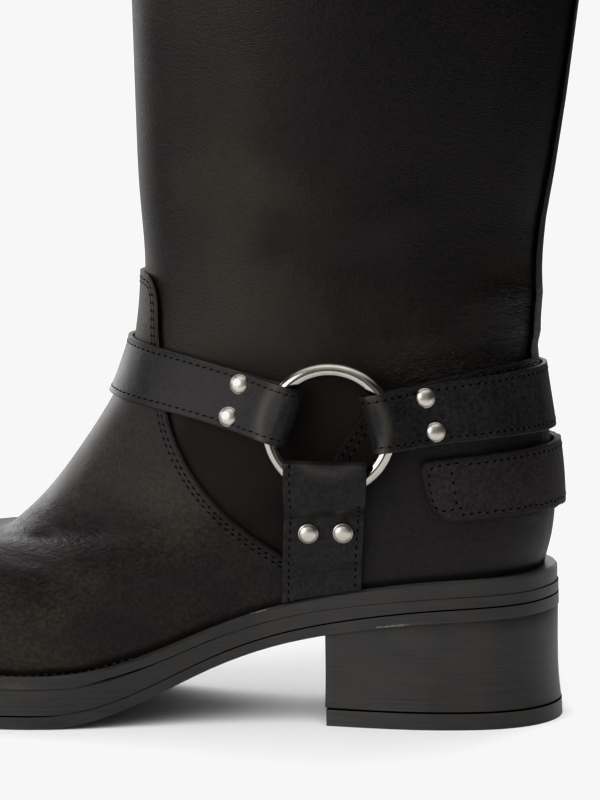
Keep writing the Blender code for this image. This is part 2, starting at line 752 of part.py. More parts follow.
def build_rivet(name, strap, run, share, lift):
    """A domed cap, seated on the strap's outer layer."""
    foot, faces, _ = strap.place(np.array([run]), np.array([share]))
    axis = faces[0]
    base = foot[0] + (HIGH_LAYER + STRAP_LEATHER / 2 + GAP + lift) * axis
    side = np.cross(axis, (0.0, 0.0, 1.0))
    side /= np.linalg.norm(side)
    up = np.cross(side, axis)
    around, rings = RIVET_FACETS
    rows = [(RIVET_RADIUS, 0.0)]
    for step in range(rings):
        tilt = math.pi / 2 * step / rings
        rows.append((RIVET_RADIUS * math.cos(tilt), 0.5 + (RIVET_RISE - 0.5) * math.sin(tilt)))
    turns = np.linspace(0, 2 * math.pi, around, endpoint=False)
    points = []
    for radius, rise in rows:
        for turn in turns:
            points.append(base + rise * axis + radius * (math.cos(turn) * side + math.sin(turn) * up))
    faces = sheet_faces(len(rows), around, True)
    last = (len(rows) - 1) * around
    points.append(base + RIVET_RISE * axis)
    faces += [(last + i, last + (i + 1) % around, len(points) - 1) for i in range(around)]
    faces.append(tuple(range(around)))
    add_solid(name, points, faces, "nickel", NICKEL)


def build_ring(name, ring):
    """A welded ring of round wire."""
    level = np.array([1.0, 0.0, 0.0])
    level = level - (level @ ring.normal) * ring.normal
    level /= np.linalg.norm(level)
    up = np.cross(ring.normal, level)
    around, wire = RING_FACETS
    points = []
    for turn in np.linspace(0, 2 * math.pi, around, endpoint=False):
        out = math.cos(turn) * level + math.sin(turn) * up
        for roll in np.linspace(0, 2 * math.pi, wire, endpoint=False):
            arm = math.cos(roll) * out + math.sin(roll) * ring.normal
            points.append(ring.middle + RING_RADIUS * out + WIRE_RADIUS * arm)
    faces = sheet_faces(around, wire, True)
    last = (around - 1) * wire
    seam = [*range(wire), 0]
    faces += strip_faces([last + i for i in seam], seam)
    add_solid(name, points, faces, "nickel", NICKEL)


def build_harness():
    rings = {name: Ring(side) for name, side in SIDES.items()}
    both = [rings["lateral"], rings["medial"]]
    straps = {"front": BandStrap(FRONT_BAND, both, True), "rear": BandStrap(REAR_BAND, both, False)}
    for name, strap in straps.items():
        ribbon_solid(name + "_strap", strap, band_path(strap), STRAP_LEATHER, BAND_LANES)
        for side, run in (("lateral", RIVET_REACH), ("medial", strap.length - RIVET_REACH)):
            for place, share in (("upper", BAND_LANES[2]), ("lower", BAND_LANES[1])):
                build_rivet(f"rivet_{name}_{side}_{place}", strap, run, share, 0.0)
    for side, ring in rings.items():
        build_ring("ring_" + side, ring)
        strap = LowerStrap(ring)
        path = loop_path(LOWER_STRAP_WIDTH / 2, LOWER_RIVET_REACH, LOWER_RIVET_REACH + 8.0)
        path.append(PathPoint(strap.length, LOW_LAYER, 0.0, LOOP))
        path = [point._replace(rise=point.rise + LOWER_SEAT_LIFT) for point in path]
        ribbon_solid("lower_strap_" + side, strap, path, STRAP_LEATHER, LOWER_LANES)
        for place, share in (("front", LOWER_LANES[2]), ("back", LOWER_LANES[1])):
            build_rivet(f"rivet_lower_{side}_{place}", strap, LOWER_RIVET_REACH, share, LOWER_SEAT_LIFT)
    return straps


class HeelTab(BandStrap):
    """The short strap sewn round the heel below the harness, with rounded ends."""

    def __init__(self, band, rings):
        super().__init__(band, rings, False, TAB_FRONT, TAB_SLANT)

    def half_width(self, run):
        inside = np.clip(np.minimum(run, self.length - run), 0, TAB_CORNER)
        drop = TAB_CORNER - np.sqrt(TAB_CORNER**2 - (TAB_CORNER - inside) ** 2)
        return self.band.width_at_ring / 2 - drop


def build_heel_tab(rings):
    tab = HeelTab(TAB_BAND, rings)
    rise = TAB_SEAT + TAB_LEATHER / 2
    runs = [0.0, 0.15 * TAB_CORNER, 0.4 * TAB_CORNER, TAB_CORNER]
    free = tab.length - 2 * TAB_CORNER
    count = round(free / 6.0)
    runs += [TAB_CORNER + free * step / count for step in range(1, count)]
    runs += [tab.length - run for run in runs[3::-1]]
    path = [PathPoint(run, rise, 0.0, 0.0) for run in runs]
    ribbon_solid("heel_tab", tab, path, TAB_LEATHER, TAB_LANES)


def main():
    for obj in list(bpy.data.objects):
        bpy.data.objects.remove(obj)
    build_upper()
    build_panels()
    build_sole()
    build_heel()
    build_insole()
    straps = build_harness()
    build_heel_tab(straps["rear"].rings)


main()
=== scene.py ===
import math
from collections import namedtuple
from contextlib import contextmanager

import bmesh
import bpy
import numpy as np
from mathutils import Matrix, Vector, noise
from mathutils.bvhtree import BVHTree
from mathutils.kdtree import KDTree


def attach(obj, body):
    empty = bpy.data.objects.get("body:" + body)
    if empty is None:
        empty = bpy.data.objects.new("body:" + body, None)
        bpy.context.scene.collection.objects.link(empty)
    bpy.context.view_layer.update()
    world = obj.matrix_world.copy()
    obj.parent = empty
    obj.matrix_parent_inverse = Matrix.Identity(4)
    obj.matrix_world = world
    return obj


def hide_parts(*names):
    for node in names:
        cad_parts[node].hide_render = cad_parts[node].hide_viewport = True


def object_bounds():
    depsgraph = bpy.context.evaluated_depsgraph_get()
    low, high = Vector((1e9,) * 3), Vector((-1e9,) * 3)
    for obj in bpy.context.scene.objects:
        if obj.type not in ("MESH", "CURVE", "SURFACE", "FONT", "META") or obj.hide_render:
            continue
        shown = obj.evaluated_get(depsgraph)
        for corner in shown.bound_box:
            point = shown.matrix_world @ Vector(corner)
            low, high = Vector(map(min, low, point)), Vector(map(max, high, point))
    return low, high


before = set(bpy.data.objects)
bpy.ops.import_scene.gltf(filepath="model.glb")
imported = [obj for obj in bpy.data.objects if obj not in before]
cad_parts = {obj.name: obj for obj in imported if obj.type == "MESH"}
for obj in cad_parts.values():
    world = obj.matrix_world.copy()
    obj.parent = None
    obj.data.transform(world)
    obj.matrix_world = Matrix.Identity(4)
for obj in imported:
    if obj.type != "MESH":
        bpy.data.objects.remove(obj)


# Upper: foot and shaft of waxed black cowhide, drawn over the last as one form with a wall 2 mm thick.
# It is open at the collar and underneath, lined with brown leather, and creased at the ankle and the toe.
CAD_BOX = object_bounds()
MM = 0.001
HEEL_BACK = 129.8  # x of the back of the heel in millimetres; stations count from it towards the toe
MERGED, PAIRED_FACES, PAIRED_SHAPES = 0.02 * MM, math.radians(60), math.radians(80)
SMOOTH_UNDER = math.radians(35)


def only(obj):
    """Makes one object the only selected and active one."""
    bpy.ops.object.select_all(action="DESELECT")
    obj.select_set(True)
    bpy.context.view_layer.objects.active = obj


@contextmanager
def editing(select=None):
    """Edit mode on the active object, with all of its mesh selected or deselected first if need be."""
    bpy.ops.object.mode_set(mode="EDIT")
    if select:
        bpy.ops.mesh.select_all(action=select)
    yield
    bpy.ops.object.mode_set(mode="OBJECT")


def placed(name, data):
    """A new object in the scene."""
    made = bpy.data.objects.new(name, data)
    bpy.context.scene.collection.objects.link(made)
    return made


def from_node(node, name):
    """A copy of a CAD node's mesh as an object of its own, merged, with its triangles paired into quads."""
    made = placed(name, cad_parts[node].data.copy())
    made.data.name = name
    made.data.materials.clear()
    only(made)
    bpy.ops.mesh.customdata_custom_splitnormals_clear()
    with editing("SELECT"):
        bpy.ops.mesh.remove_doubles(threshold=MERGED)
        bpy.ops.mesh.mark_sharp(clear=True)
        bpy.ops.mesh.tris_convert_to_quads(face_threshold=PAIRED_FACES, shape_threshold=PAIRED_SHAPES)
        bpy.ops.mesh.select_all(action="DESELECT")
    return made


def rows_of(items, name):
    """One vector of each of a mesh's items, as the rows of an array."""
    flat = np.empty(len(items) * 3)
    items.foreach_get(name, flat)
    return flat.reshape(-1, 3)


def points_of(mesh):
    return rows_of(mesh.vertices, "co")


def set_points(mesh, points):
    mesh.vertices.foreach_set("co", np.ascontiguousarray(points).ravel())
    mesh.update()


def rounded(obj, levels, sharp=40):
    """Subdivides a coarse form so that its smooth faces run through the coarse points, its edges kept."""
    mesh = obj.data
    build = bmesh.new()
    build.from_mesh(mesh)
    crease = build.edges.layers.float.new("crease_edge")
    for edge in build.edges:
        if len(edge.link_faces) != 2 or edge.calc_face_angle(0) > math.radians(sharp):
            edge[crease] = 1.0
    build.to_mesh(mesh)
    build.free()
    smooth = obj.modifiers.new("round", "SUBSURF")
    smooth.levels = smooth.render_levels = levels
    goal, cage = points_of(mesh), points_of(mesh)
    for _ in range(4):
        view = bpy.context.evaluated_depsgraph_get()
        cage += goal - points_of(obj.evaluated_get(view).data)[: len(goal)]
        set_points(mesh, cage)
    only(obj)
    bpy.ops.object.modifier_apply(modifier=smooth.name)
    return obj


def linear(colour):
    """An sRGB hex colour as linear RGBA."""
    parts = [int(colour[i : i + 2], 16) / 255 for i in (1, 3, 5)]
    return (*[p / 12.92 if p <= 0.04045 else ((p + 0.055) / 1.055) ** 2.4 for p in parts], 1.0)


def plug(tree, node, inputs):
    """Gives a node's sockets their values, linked where a value is another node's output."""
    for name, value in inputs.items():
        if isinstance(value, bpy.types.NodeSocket):
            tree.links.new(value, node.inputs[name])
        elif value is not None:
            node.inputs[name].default_value = value


def put(tree, kind, inputs, stops=(), **settings):
    """Adds one node and returns one of its outputs, named together as in "TexNoise.Fac". Inputs are for its
    sockets, stops are a colour ramp's (place, colour) pairs, and settings are its own properties."""
    kind, output = kind.split(".")
    node = tree.nodes.new("ShaderNode" + kind)
    for name, value in settings.items():
        setattr(node, name, value)
    plug(tree, node, inputs)
    for i, (place, colour) in enumerate(stops):
        stop = node.color_ramp.elements[i] if i < 2 else node.color_ramp.elements.new(place)
        stop.position, stop.color = place, linear(colour)
    return node.outputs[int(output) if output.isdigit() else output]


MIX, MIX_A, MIX_B = "Mix.2", 6, 7  # a Mix node's output and sockets for colours


def new_material(name):
    """A material, its node tree, and the place of each point on the piece."""
    made = bpy.data.materials.new(name)
    made.use_nodes = True
    return made, made.node_tree, put(made.node_tree, "TexCoord.Object", {})


def shaded(made, inputs):
    """The material, with its shader's sockets given their values."""
    plug(made.node_tree, made.node_tree.nodes["Principled BSDF"], inputs)
    return made


def slanted(tree, place, turn, sizes_mm):
    """Places turned about Y and then counted in sizes given in millimetres along X, Y and Z."""
    turned = put(tree, "Mapping.Vector", {"Vector": place, "Rotation": (0, turn, 0)})
    counts = tuple(1000 / size if size else 0 for size in sizes_mm)
    return put(tree, "Mapping.Vector", {"Vector": turned, "Scale": counts})


HUE_STOPS, LOW_STOPS, TONE_STEP = (0.34, 0.5, 0.66, 0.95), (0.36, 0.64), 0.13
SPECK_MM, PORE_MM, PULL_MM = 1.3, 0.7, 7.0
Wrinkle = namedtuple("Wrinkle", "slant long_mm deep_mm")
WRINKLES, WRINKLE_HIGH_MM = (Wrinkle(-14, 8.0, 2.4), Wrinkle(16, 6.0, 1.9)), 1.3
# Painted shade where the upper meets the welt: the leather darkens to this hue close over the welt
WELT_SHADE_FROM, WELT_SHADE_TO, WELT_SHADE_HUE = 3.2, 0.9, "#030302"  # millimetres over the welt


def waxed_leather(
    name, hues, grain_mm, cloud_mm, roughness, shine, tint="#fff8f5", grain=0.3, harness_shade_hues=None, worn=False,
    edge_hue=None, edge_wide=0.8, wire_highlight_hue=None,
):
    """Drum-dyed cowhide with a wax finish: soft clouds of colour from handling, with some patches of painted
    highlight, a pebble grain of fine cells, a broken satin gloss, hair-thin wrinkles where it flexes, painted
    shade at the foot and under the harness, a painted highlight over a ring's wire, and a round edge dyed
    dark with painted shade along it."""
    made, tree, place = new_material(name)
    clouds = put(
        tree, "TexNoise.Fac",
        {"Vector": place, "Scale": 1000 / cloud_mm, "Detail": 5.0, "Roughness": 0.62, "Distortion": 0.4},
    )
    # Patches of tone from the marked spots: mostly dye, and in two places a painted highlight
    if worn:
        toned = put(tree, "Attribute.Fac", {}, attribute_name="tone")
        clouds = put(tree, "Math.Value", {0: toned, 1: TONE_STEP, 2: clouds}, operation="MULTIPLY_ADD")
    colour = put(tree, "ValToRGB.Color", {"Fac": clouds}, zip(HUE_STOPS, hues))
    # Painted shade under and inside the harness: a dark brown colour there, which is also made matt below
    if harness_shade_hues:
        harness_shade_colour = put(tree, "ValToRGB.Color", {"Fac": clouds}, zip(LOW_STOPS, harness_shade_hues))
        lower = put(tree, "Attribute.Fac", {}, attribute_name="matt")
        colour = put(tree, MIX, {"Factor": lower, MIX_A: colour, MIX_B: harness_shade_colour}, data_type="RGBA")
    speck = put(
        tree, "TexNoise.Fac", {"Vector": place, "Scale": 1000 / SPECK_MM, "Detail": 3.0, "Roughness": 0.7}
    )
    speckled = put(tree, "ValToRGB.Color", {"Fac": speck}, ((0.36, "#9c9a98"), (0.64, "#ffffff")))
    colour = put(
        tree, MIX, {"Factor": 1.0, MIX_A: colour, MIX_B: speckled}, data_type="RGBA", blend_type="MULTIPLY"
    )
    cells = put(tree, "TexVoronoi.Distance", {"Vector": place, "Scale": 1000 / grain_mm})
    pores = put(
        tree, "TexNoise.Fac", {"Vector": place, "Scale": 1000 / PORE_MM, "Detail": 4.0, "Roughness": 0.65}
    )
    pulls = put(
        tree, "TexNoise.Fac", {"Vector": place, "Scale": 1000 / PULL_MM, "Detail": 3.0, "Distortion": 0.6}
    )
    bump = None
    for height, strength, deep_mm in ((pulls, 0.09, 0.7), (cells, grain, 0.22), (pores, grain, 0.26)):
        bump = put(
            tree, "Bump.Normal",
            {"Height": height, "Strength": strength, "Distance": deep_mm * MM, "Normal": bump},
            invert=height == cells,
        )
    if worn:
        flexed = put(tree, "Attribute.Fac", {}, attribute_name="flex")
        for wrinkle in WRINKLES:
            long_mm, deep = wrinkle.long_mm, wrinkle.deep_mm * MM
            stretched = slanted(tree, place, math.radians(wrinkle.slant), (long_mm, long_mm, WRINKLE_HIGH_MM))
            lines = put(
                tree, "TexNoise.Fac",
                {"Vector": stretched, "Scale": 1.0, "Detail": 3.0, "Roughness": 0.6, "Distortion": 1.2},
            )
            pressed = put(tree, "Math.Value", {0: lines, 1: flexed}, operation="MULTIPLY")
            bump = put(
                tree, "Bump.Normal", {"Height": pressed, "Strength": 1.0, "Distance": deep, "Normal": bump}
            )
        # Painted shade at the foot of the upper: darker, and without gloss, close over the welt where the two
        # meet
        from_welt = put(tree, "Attribute.Fac", {}, attribute_name="welt_mm")
        foot = put(
            tree, "MapRange.Result",
            {"Value": from_welt, "From Min": WELT_SHADE_FROM, "From Max": WELT_SHADE_TO, "To Max": 0.95},
            interpolation_type="SMOOTHSTEP",
        )
        colour = put(tree, MIX, {"Factor": foot, MIX_A: colour, MIX_B: linear(WELT_SHADE_HUE)}, data_type="RGBA")
    # The edge: a bump rounds it, and the colour darkens towards it: the raw edge dyed dark, with painted
    # shade along it over edge_wide millimetres
    if edge_hue:
        from_edge = put(tree, "Attribute.Fac", {}, attribute_name="edge_mm")
        turn = put(
            tree, "MapRange.Result", {"Value": from_edge, "From Max": 0.9}, interpolation_type="SMOOTHSTEP"
        )
        bump = put(
            tree, "Bump.Normal", {"Height": turn, "Strength": 0.8, "Distance": 0.45 * MM, "Normal": bump}
        )
        wear_and_painted_light = put(
            tree, "MapRange.Result",
            {"Value": from_edge, "From Min": edge_wide, "From Max": 0.15, "To Max": 0.7},
        )
        colour = put(tree, MIX, {"Factor": wear_and_painted_light, MIX_A: colour, MIX_B: linear(edge_hue)}, data_type="RGBA")
    gloss = put(
        tree, "MapRange.Result",
        {"Value": clouds, "From Min": 0.3, "From Max": 0.7, "To Min": roughness[0], "To Max": roughness[1]},
    )
    dulled = put(tree, "MapRange.Result", {"Value": speck, "To Min": -0.12, "To Max": 0.12})
    gloss = put(tree, "Math.Value", {0: gloss, 1: dulled}, operation="ADD")
    if worn:
        gloss = put(tree, "MapRange.Result", {"Value": foot, "To Min": gloss, "To Max": 1.0})
    if harness_shade_hues:
        gloss = put(tree, "MapRange.Result", {"Value": lower, "To Min": gloss, "To Max": 0.8})
    # Painted highlight where a strap bends over a ring's wire: a paler colour there, with a lower roughness
    if wire_highlight_hue:
        wire_highlight = put(tree, "Attribute.Fac", {}, attribute_name="wire_highlight_share")
        gloss = put(tree, "MapRange.Result", {"Value": wire_highlight, "To Min": gloss, "To Max": 0.3})
        colour = put(tree, MIX, {"Factor": wire_highlight, MIX_A: colour, MIX_B: linear(wire_highlight_hue)}, data_type="RGBA")
    return shaded(made, {
        "Base Color": colour, "Roughness": gloss, "Normal": bump, "IOR": 1.46, "Specular IOR Level": shine,
        "Specular Tint": linear(tint),
    })


def dress(piece, slot, materials, *nodes):
    """Shades a finished piece, gives it its materials, and puts it on the boot in place of its CAD nodes."""
    only(piece)
    bpy.ops.object.shade_smooth_by_angle(angle=SMOOTH_UNDER)
    finish = [face.material_index for face in piece.data.polygons]
    piece.data.materials.clear()
    for made in materials:
        piece.data.materials.append(made)
    piece.data.polygons.foreach_set("material_index", finish)
    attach(piece, "root")
    if nodes:
        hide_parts(*nodes)


Crease = namedtuple("Crease", "depth width line")
# Troughs (depth over 0) and ridges (under 0) of the worn leather, in millimetres. Each line runs through
# (station, height) points in the side view: first those at the ankle, then those at the toe break.
CREASES = (
    Crease(0.50, 2.2, ((52, 118.6), (40, 121.0), (28, 123.4), (14, 125.0))),
    Crease(-0.35, 2.4, ((46, 124.0), (34, 126.0), (20, 128.4))),
    Crease(0.45, 1.9, ((40, 128.4), (28, 130.6), (13, 131.4))),
    Crease(0.30, 1.7, ((30, 135.6), (20, 137.2), (11, 137.6))),
    Crease(0.55, 7.0, ((100, 160.0), (84, 155.0), (66, 153.0), (48, 156.5))),
    Crease(-0.50, 8.0, ((110, 176.0), (88, 171.0), (62, 169.0), (36, 174.0))),
    Crease(0.40, 8.0, ((126, 196.0), (104, 188.0), (80, 186.0), (58, 192.0))),
    Crease(0.42, 1.7, ((186, 58.5), (176, 58.8), (165, 56.6), (154, 53.2), (146, 48.5))),
    Crease(-0.32, 1.8, ((182, 61.8), (172, 62.0), (160, 59.6), (150, 56.0))),
    Crease(0.40, 1.5, ((178, 65.2), (169, 64.6), (158, 62.4), (146, 58.0), (139, 52.6))),
    Crease(-0.26, 1.7, ((176, 52.2), (166, 50.6), (156, 47.4))),
    Crease(0.34, 1.5, ((184, 54.4), (174, 54.0), (162, 51.2), (151, 46.2))),
    Crease(0.30, 1.6, ((188, 49.0), (176, 47.6), (165, 44.6), (156, 40.4))),
    Crease(0.28, 1.5, ((168, 69.8), (158, 68.2), (148, 64.8))),
    Crease(0.45, 6.5, ((168, 88.0), (152, 80.0), (136, 70.0), (122, 58.0))),
    Crease(-0.45, 6.0, ((176, 78.0), (160, 72.0), (144, 64.0), (130, 54.0))),
)
CREASE_ENDS = 0.22  # share of its length over which a crease fades in and out


def line_distance(points, line):
    """Distance of points in a plane from a line of straight runs, and the share of its length they are at."""
    line = np.array(line, float)
    starts, runs = line[:-1], np.diff(line, axis=0)
    lengths = np.linalg.norm(runs, axis=1)
    before = np.concatenate([[0], np.cumsum(lengths)])
    best, share = np.full(len(points), 1e9), np.zeros(len(points))
    for start, run, length, past in zip(starts, runs, lengths, before):
        along = np.clip(((points - start) @ run) / length**2, 0, 1)
        away = np.linalg.norm(points - start - along[:, None] * run, axis=1)
        nearer = away < best
        best = np.where(nearer, away, best)
        share = np.where(nearer, (past + along * length) / before[-1], share)
    return best, share


def side_view(points):
    """Station and height in millimetres of points in the boot's frame."""
    return np.stack([HEEL_BACK - points[:, 0] / MM, points[:, 2] / MM], axis=-1)


upper = from_node("upper", "upper_leather_wall")
outermost = min(upper.data.polygons, key=lambda face: face.center.y)
outermost.select = True
with editing():
    bpy.ops.mesh.select_mode(type="FACE")
    bpy.ops.mesh.faces_select_linked_flat(sharpness=math.radians(60))
OUTER, LINED, RIM = 0, 1, 2
for face in upper.data.polygons:
    collar = face.normal.z > 0.9 and face.center.z > CAD_BOX[1][2] - 2 * MM
    face.material_index = OUTER if face.select else RIM if collar else LINED
for _ in (OUTER, LINED, RIM):
    upper.data.materials.append(None)
rounded(upper, 2)
for face in upper.data.polygons:
    face.select = face.material_index == OUTER
with editing():
    bpy.ops.mesh.subdivide(number_cuts=1)
outer_share = np.zeros(len(upper.data.vertices))
for face in upper.data.polygons:
    if face.material_index == OUTER:
        outer_share[list(face.vertices)] = 1.0
points, out = points_of(upper.data), rows_of(upper.data.vertex_normals, "vector")
flat = side_view(points)
sideways = np.clip((np.abs(out[:, 1]) - 0.12) / 0.4, 0, 1)  # creases fade towards the front and the back
move = np.zeros(len(points))
for crease in CREASES:
    away, share = line_distance(flat, crease.line)
    fade = np.clip(np.minimum(share, 1 - share) / CREASE_ENDS, 0, 1)
    move -= crease.depth * np.exp(-((away / crease.width) ** 2)) * fade * fade * (3 - 2 * fade) * sideways
set_points(upper.data, points + (move * outer_share * MM)[:, None] * out)
# How far the back of the shaft stands out under the backstay, as (height, millimetres): it puckers there
BACK_SWELL = (
    (124, 0.0), (128, 1.3), (133, 1.7), (141, 2.6), (149, 2.1), (157, 1.6), (166, 1.1), (174, 1.25),
    (182, 1.4), (206, 1.45), (225, 1.2), (320, 1.2),
)
points, out = points_of(upper.data), rows_of(upper.data.vertex_normals, "vector")
swell = np.interp(points[:, 2] / MM, *np.array(BACK_SWELL).T)
set_points(upper.data, points + out * (swell * MM * np.clip(out[:, 0], 0, 1) ** 1.5 * outer_share)[:, None])

Spot = namedtuple("Spot", "at z long high shift", defaults=(1.0,))  # middle and reach in millimetres
# Where the leather folds in wear and carries hair-thin level wrinkles
FLEX_SPOTS = (Spot(154, 60, 34, 12), Spot(176, 47, 26, 12), Spot(27, 122, 30, 9), Spot(12, 133, 18, 10))
# Under and inside the harness, where the hide is matt and painted dark brown as shade
SHADE_AND_MATT_SPOTS = (Spot(75, 99, 26, 21), Spot(102, 84, 28, 36))
# Patches of the dye: olive brown where it is rubbed thin (shift over 0), grey violet where wax lies (under
# 0). The olive band up the shaft at station 108 is partly dye and partly painted highlight, and the strong
# pale patch on the tongue at station 142 is painted highlight.
DYE_AND_HIGHLIGHT_SPOTS = (
    Spot(108, 172, 10, 50, 1.5), Spot(60, 205, 34, 50, -1.0), Spot(18, 215, 34, 70, -1.1),
    Spot(131, 170, 6, 50, -0.9), Spot(78, 139, 17, 13, 1.0), Spot(121, 70, 17, 13, 1.3),
    Spot(168, 36, 20, 9, 1.1), Spot(148, 47, 16, 6, 0.9), Spot(119, 48, 22, 10, -1.2),
    Spot(148, 33, 30, 6, -1.1), Spot(156, 66, 26, 9, -0.9), Spot(40, 65, 40, 30, -0.8),
    Spot(142, 140, 9, 15, 3.6),
)
FLEX_FADE, SHADE_AND_MATT_CORE = 1.6, 1.5
WELT_BELOW, FAR_FROM_EDGE = 70 * MM, 40.0


def faces_tree(mesh, finish=None):
    """A search tree of a mesh's faces, or of those with one finish."""
    faces = [f.vertices[:] for f in mesh.polygons if finish is None or f.material_index == finish]
    return BVHTree.FromPolygons([v.co for v in mesh.vertices], faces)


def mark(mesh, name, values):
    """Keeps a value for each point of a mesh, for its material to read."""
    kept = mesh.attributes.get(name) or mesh.attributes.new(name, "FLOAT", "POINT")
    kept.data.foreach_set("value", np.array(values, np.float32))


welt_rim = faces_tree(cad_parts["welt"].data)


def mark_wear(mesh):
    """Marks how wrinkled the leather is at each point, where it is matt and painted dark as shade, its tone,
    and how far the welt is.
    """
    flat = side_view(points_of(mesh))

    def away(spot):
        return np.hypot((flat[:, 0] - spot.at) / spot.long, (flat[:, 1] - spot.z) / spot.high)

    mark(mesh, "flex", np.max([np.exp(-(away(spot) ** 2) * FLEX_FADE) for spot in FLEX_SPOTS], axis=0))
    mark(mesh, "tone", sum(spot.shift * np.exp(-(away(spot) ** 2)) for spot in DYE_AND_HIGHLIGHT_SPOTS))
    # Where the hide is matt and painted dark brown as shade, under and inside the harness
    matt = [np.clip(SHADE_AND_MATT_CORE * np.exp(-(away(spot) ** 4)), 0, 1) for spot in SHADE_AND_MATT_SPOTS]
    mark(mesh, "matt", np.max(matt, axis=0))
    mark(mesh, "welt_mm", [
        welt_rim.find_nearest(v.co)[3] / MM if v.co.z < WELT_BELOW else FAR_FROM_EDGE for v in mesh.vertices
    ])


mark_wear(upper.data)
skin_mesh = upper.data.copy()
BLACK_HIDE = waxed_leather(
    "waxed cowhide, black", ("#0b090d", "#0e0c0b", "#1d180e"), 0.5, 52.0, (0.33, 0.47), 0.26,
    harness_shade_hues=("#060302", "#140d08"), grain=0.40, worn=True, tint="#fff4ec",
)
LINING_HIDE = waxed_leather(
    "pigskin lining, brown", ("#4a3a2c", "#54432f", "#5d4b38"), 0.8, 30.0, (0.6, 0.72), 0.3
)
dress(upper, "upper_leather", (BLACK_HIDE, LINING_HIDE, BLACK_HIDE), "upper")


# Vamp: the front panel of the same waxed cowhide, cut with a rounded tongue that runs up the shin.
# It is laid over the upper and sewn down along its edge with two rows of black thread.
PANEL_LIES, PANEL_FACE, PANEL_MARGIN = 0.06, 1.7, 8  # heights of its faces over the upper, spare all round
VAMP_INSETS, VAMP_ROWS_OVER, VAMP_ROWS_TO = (2.2, 3.6), 50 * MM, 150  # rows in from the edge, height, station
WHOLE_WIDTH, CURVE_STEP = 200, 1.2
VAMP_EDGE = (  # station and height along the seam, from the tongue down to the welt
    (139.5, 147.4), (136.6, 146.6), (134.4, 143.5), (133.1, 137.5), (132.5, 126.5), (129.4, 106.0),
    (126.4, 96.0), (120.8, 86.1), (114.3, 77.9), (106.0, 69.8), (97.8, 63.1), (89.9, 57.6), (82.0, 51.5),
    (78.5, 46.0), (78.5, 30.0),
)


def flowing(line):
    """A smooth curve through the points of a line, as points a small step apart."""
    line = np.array(line, float)
    padded = np.concatenate([[2 * line[0] - line[1]], line, [2 * line[-1] - line[-2]]])
    curve = []
    for p0, p1, p2, p3 in zip(padded, padded[1:], padded[2:], padded[3:]):
        for t in np.linspace(0, 1, max(2, int(np.linalg.norm(p2 - p1) / CURVE_STEP)), endpoint=False):
            bend = 2 * p0 - 5 * p1 + 4 * p2 - p3 + (3 * p1 - p0 - 3 * p2 + p3) * t
            curve.append((2 * p1 + (p2 - p0) * t + bend * t * t) / 2)
    return [*curve, line[-1]]


def laid_panel(name, outline, low_y, high_y, face_mm, from_behind=False):
    """Leather laid on the upper, and the runs of its edge: the upper's face lifted to a slab, then cut by an
    outline seen from the side, as (station, height) points, or from behind, as (y, height) points."""
    panel = placed(name, skin_mesh.copy())
    only(panel)
    outline = np.array(outline, float)
    low, high = outline.min(axis=0) - PANEL_MARGIN, outline.max(axis=0) + PANEL_MARGIN
    for face in panel.data.polygons:
        at, y, z = HEEL_BACK - face.center.x / MM, face.center.y / MM, face.center.z / MM
        across, along = (y, at) if from_behind else (at, y)
        inside = low[0] < across < high[0] and low[1] < z < high[1]
        inside = inside and low_y - PANEL_MARGIN < along < high_y + PANEL_MARGIN
        face.select = face.material_index != OUTER or not inside
    with editing():
        bpy.ops.mesh.delete(type="FACE")
        bpy.ops.mesh.select_all(action="SELECT")
        bpy.ops.transform.shrink_fatten(value=PANEL_LIES * MM)
    wall = panel.modifiers.new("slab", "SOLIDIFY")
    wall.thickness, wall.offset = (face_mm - PANEL_LIES) * MM, 1.0
    bpy.ops.object.modifier_apply(modifier=wall.name)
    knife = placed("outline", bpy.data.meshes.new("outline"))
    corners = [((HEEL_BACK - at) * MM, low_y * MM, z * MM) for at, z in outline]
    sweep = (0, (high_y - low_y) * MM, 0)
    if from_behind:
        corners = [((HEEL_BACK - low_y) * MM, y * MM, z * MM) for y, z in outline]
        sweep = ((low_y - high_y) * MM, 0, 0)
    knife.data.from_pydata(corners, [], [tuple(range(len(corners)))])
    only(knife)
    with editing("SELECT"):
        bpy.ops.mesh.extrude_region_move(TRANSFORM_OT_translate={"value": sweep})
        bpy.ops.mesh.select_all(action="SELECT")
        bpy.ops.mesh.normals_make_consistent(inside=False)
    only(panel)
    cut = panel.modifiers.new("cut out", "BOOLEAN")
    cut.operation, cut.object, cut.solver = "INTERSECT", knife, "MANIFOLD"
    bpy.ops.object.modifier_apply(modifier=cut.name)
    bpy.data.objects.remove(knife)
    for face in panel.data.polygons:
        face.material_index = 0
    mark_wear(panel.data)
    runs = edge_runs(panel)
    mark_edge(panel, runs)
    return panel, runs


skin = faces_tree(skin_mesh, OUTER)
RimPoint = namedtuple("RimPoint", "place out inward")
RIM_ANGLE = math.radians(50)


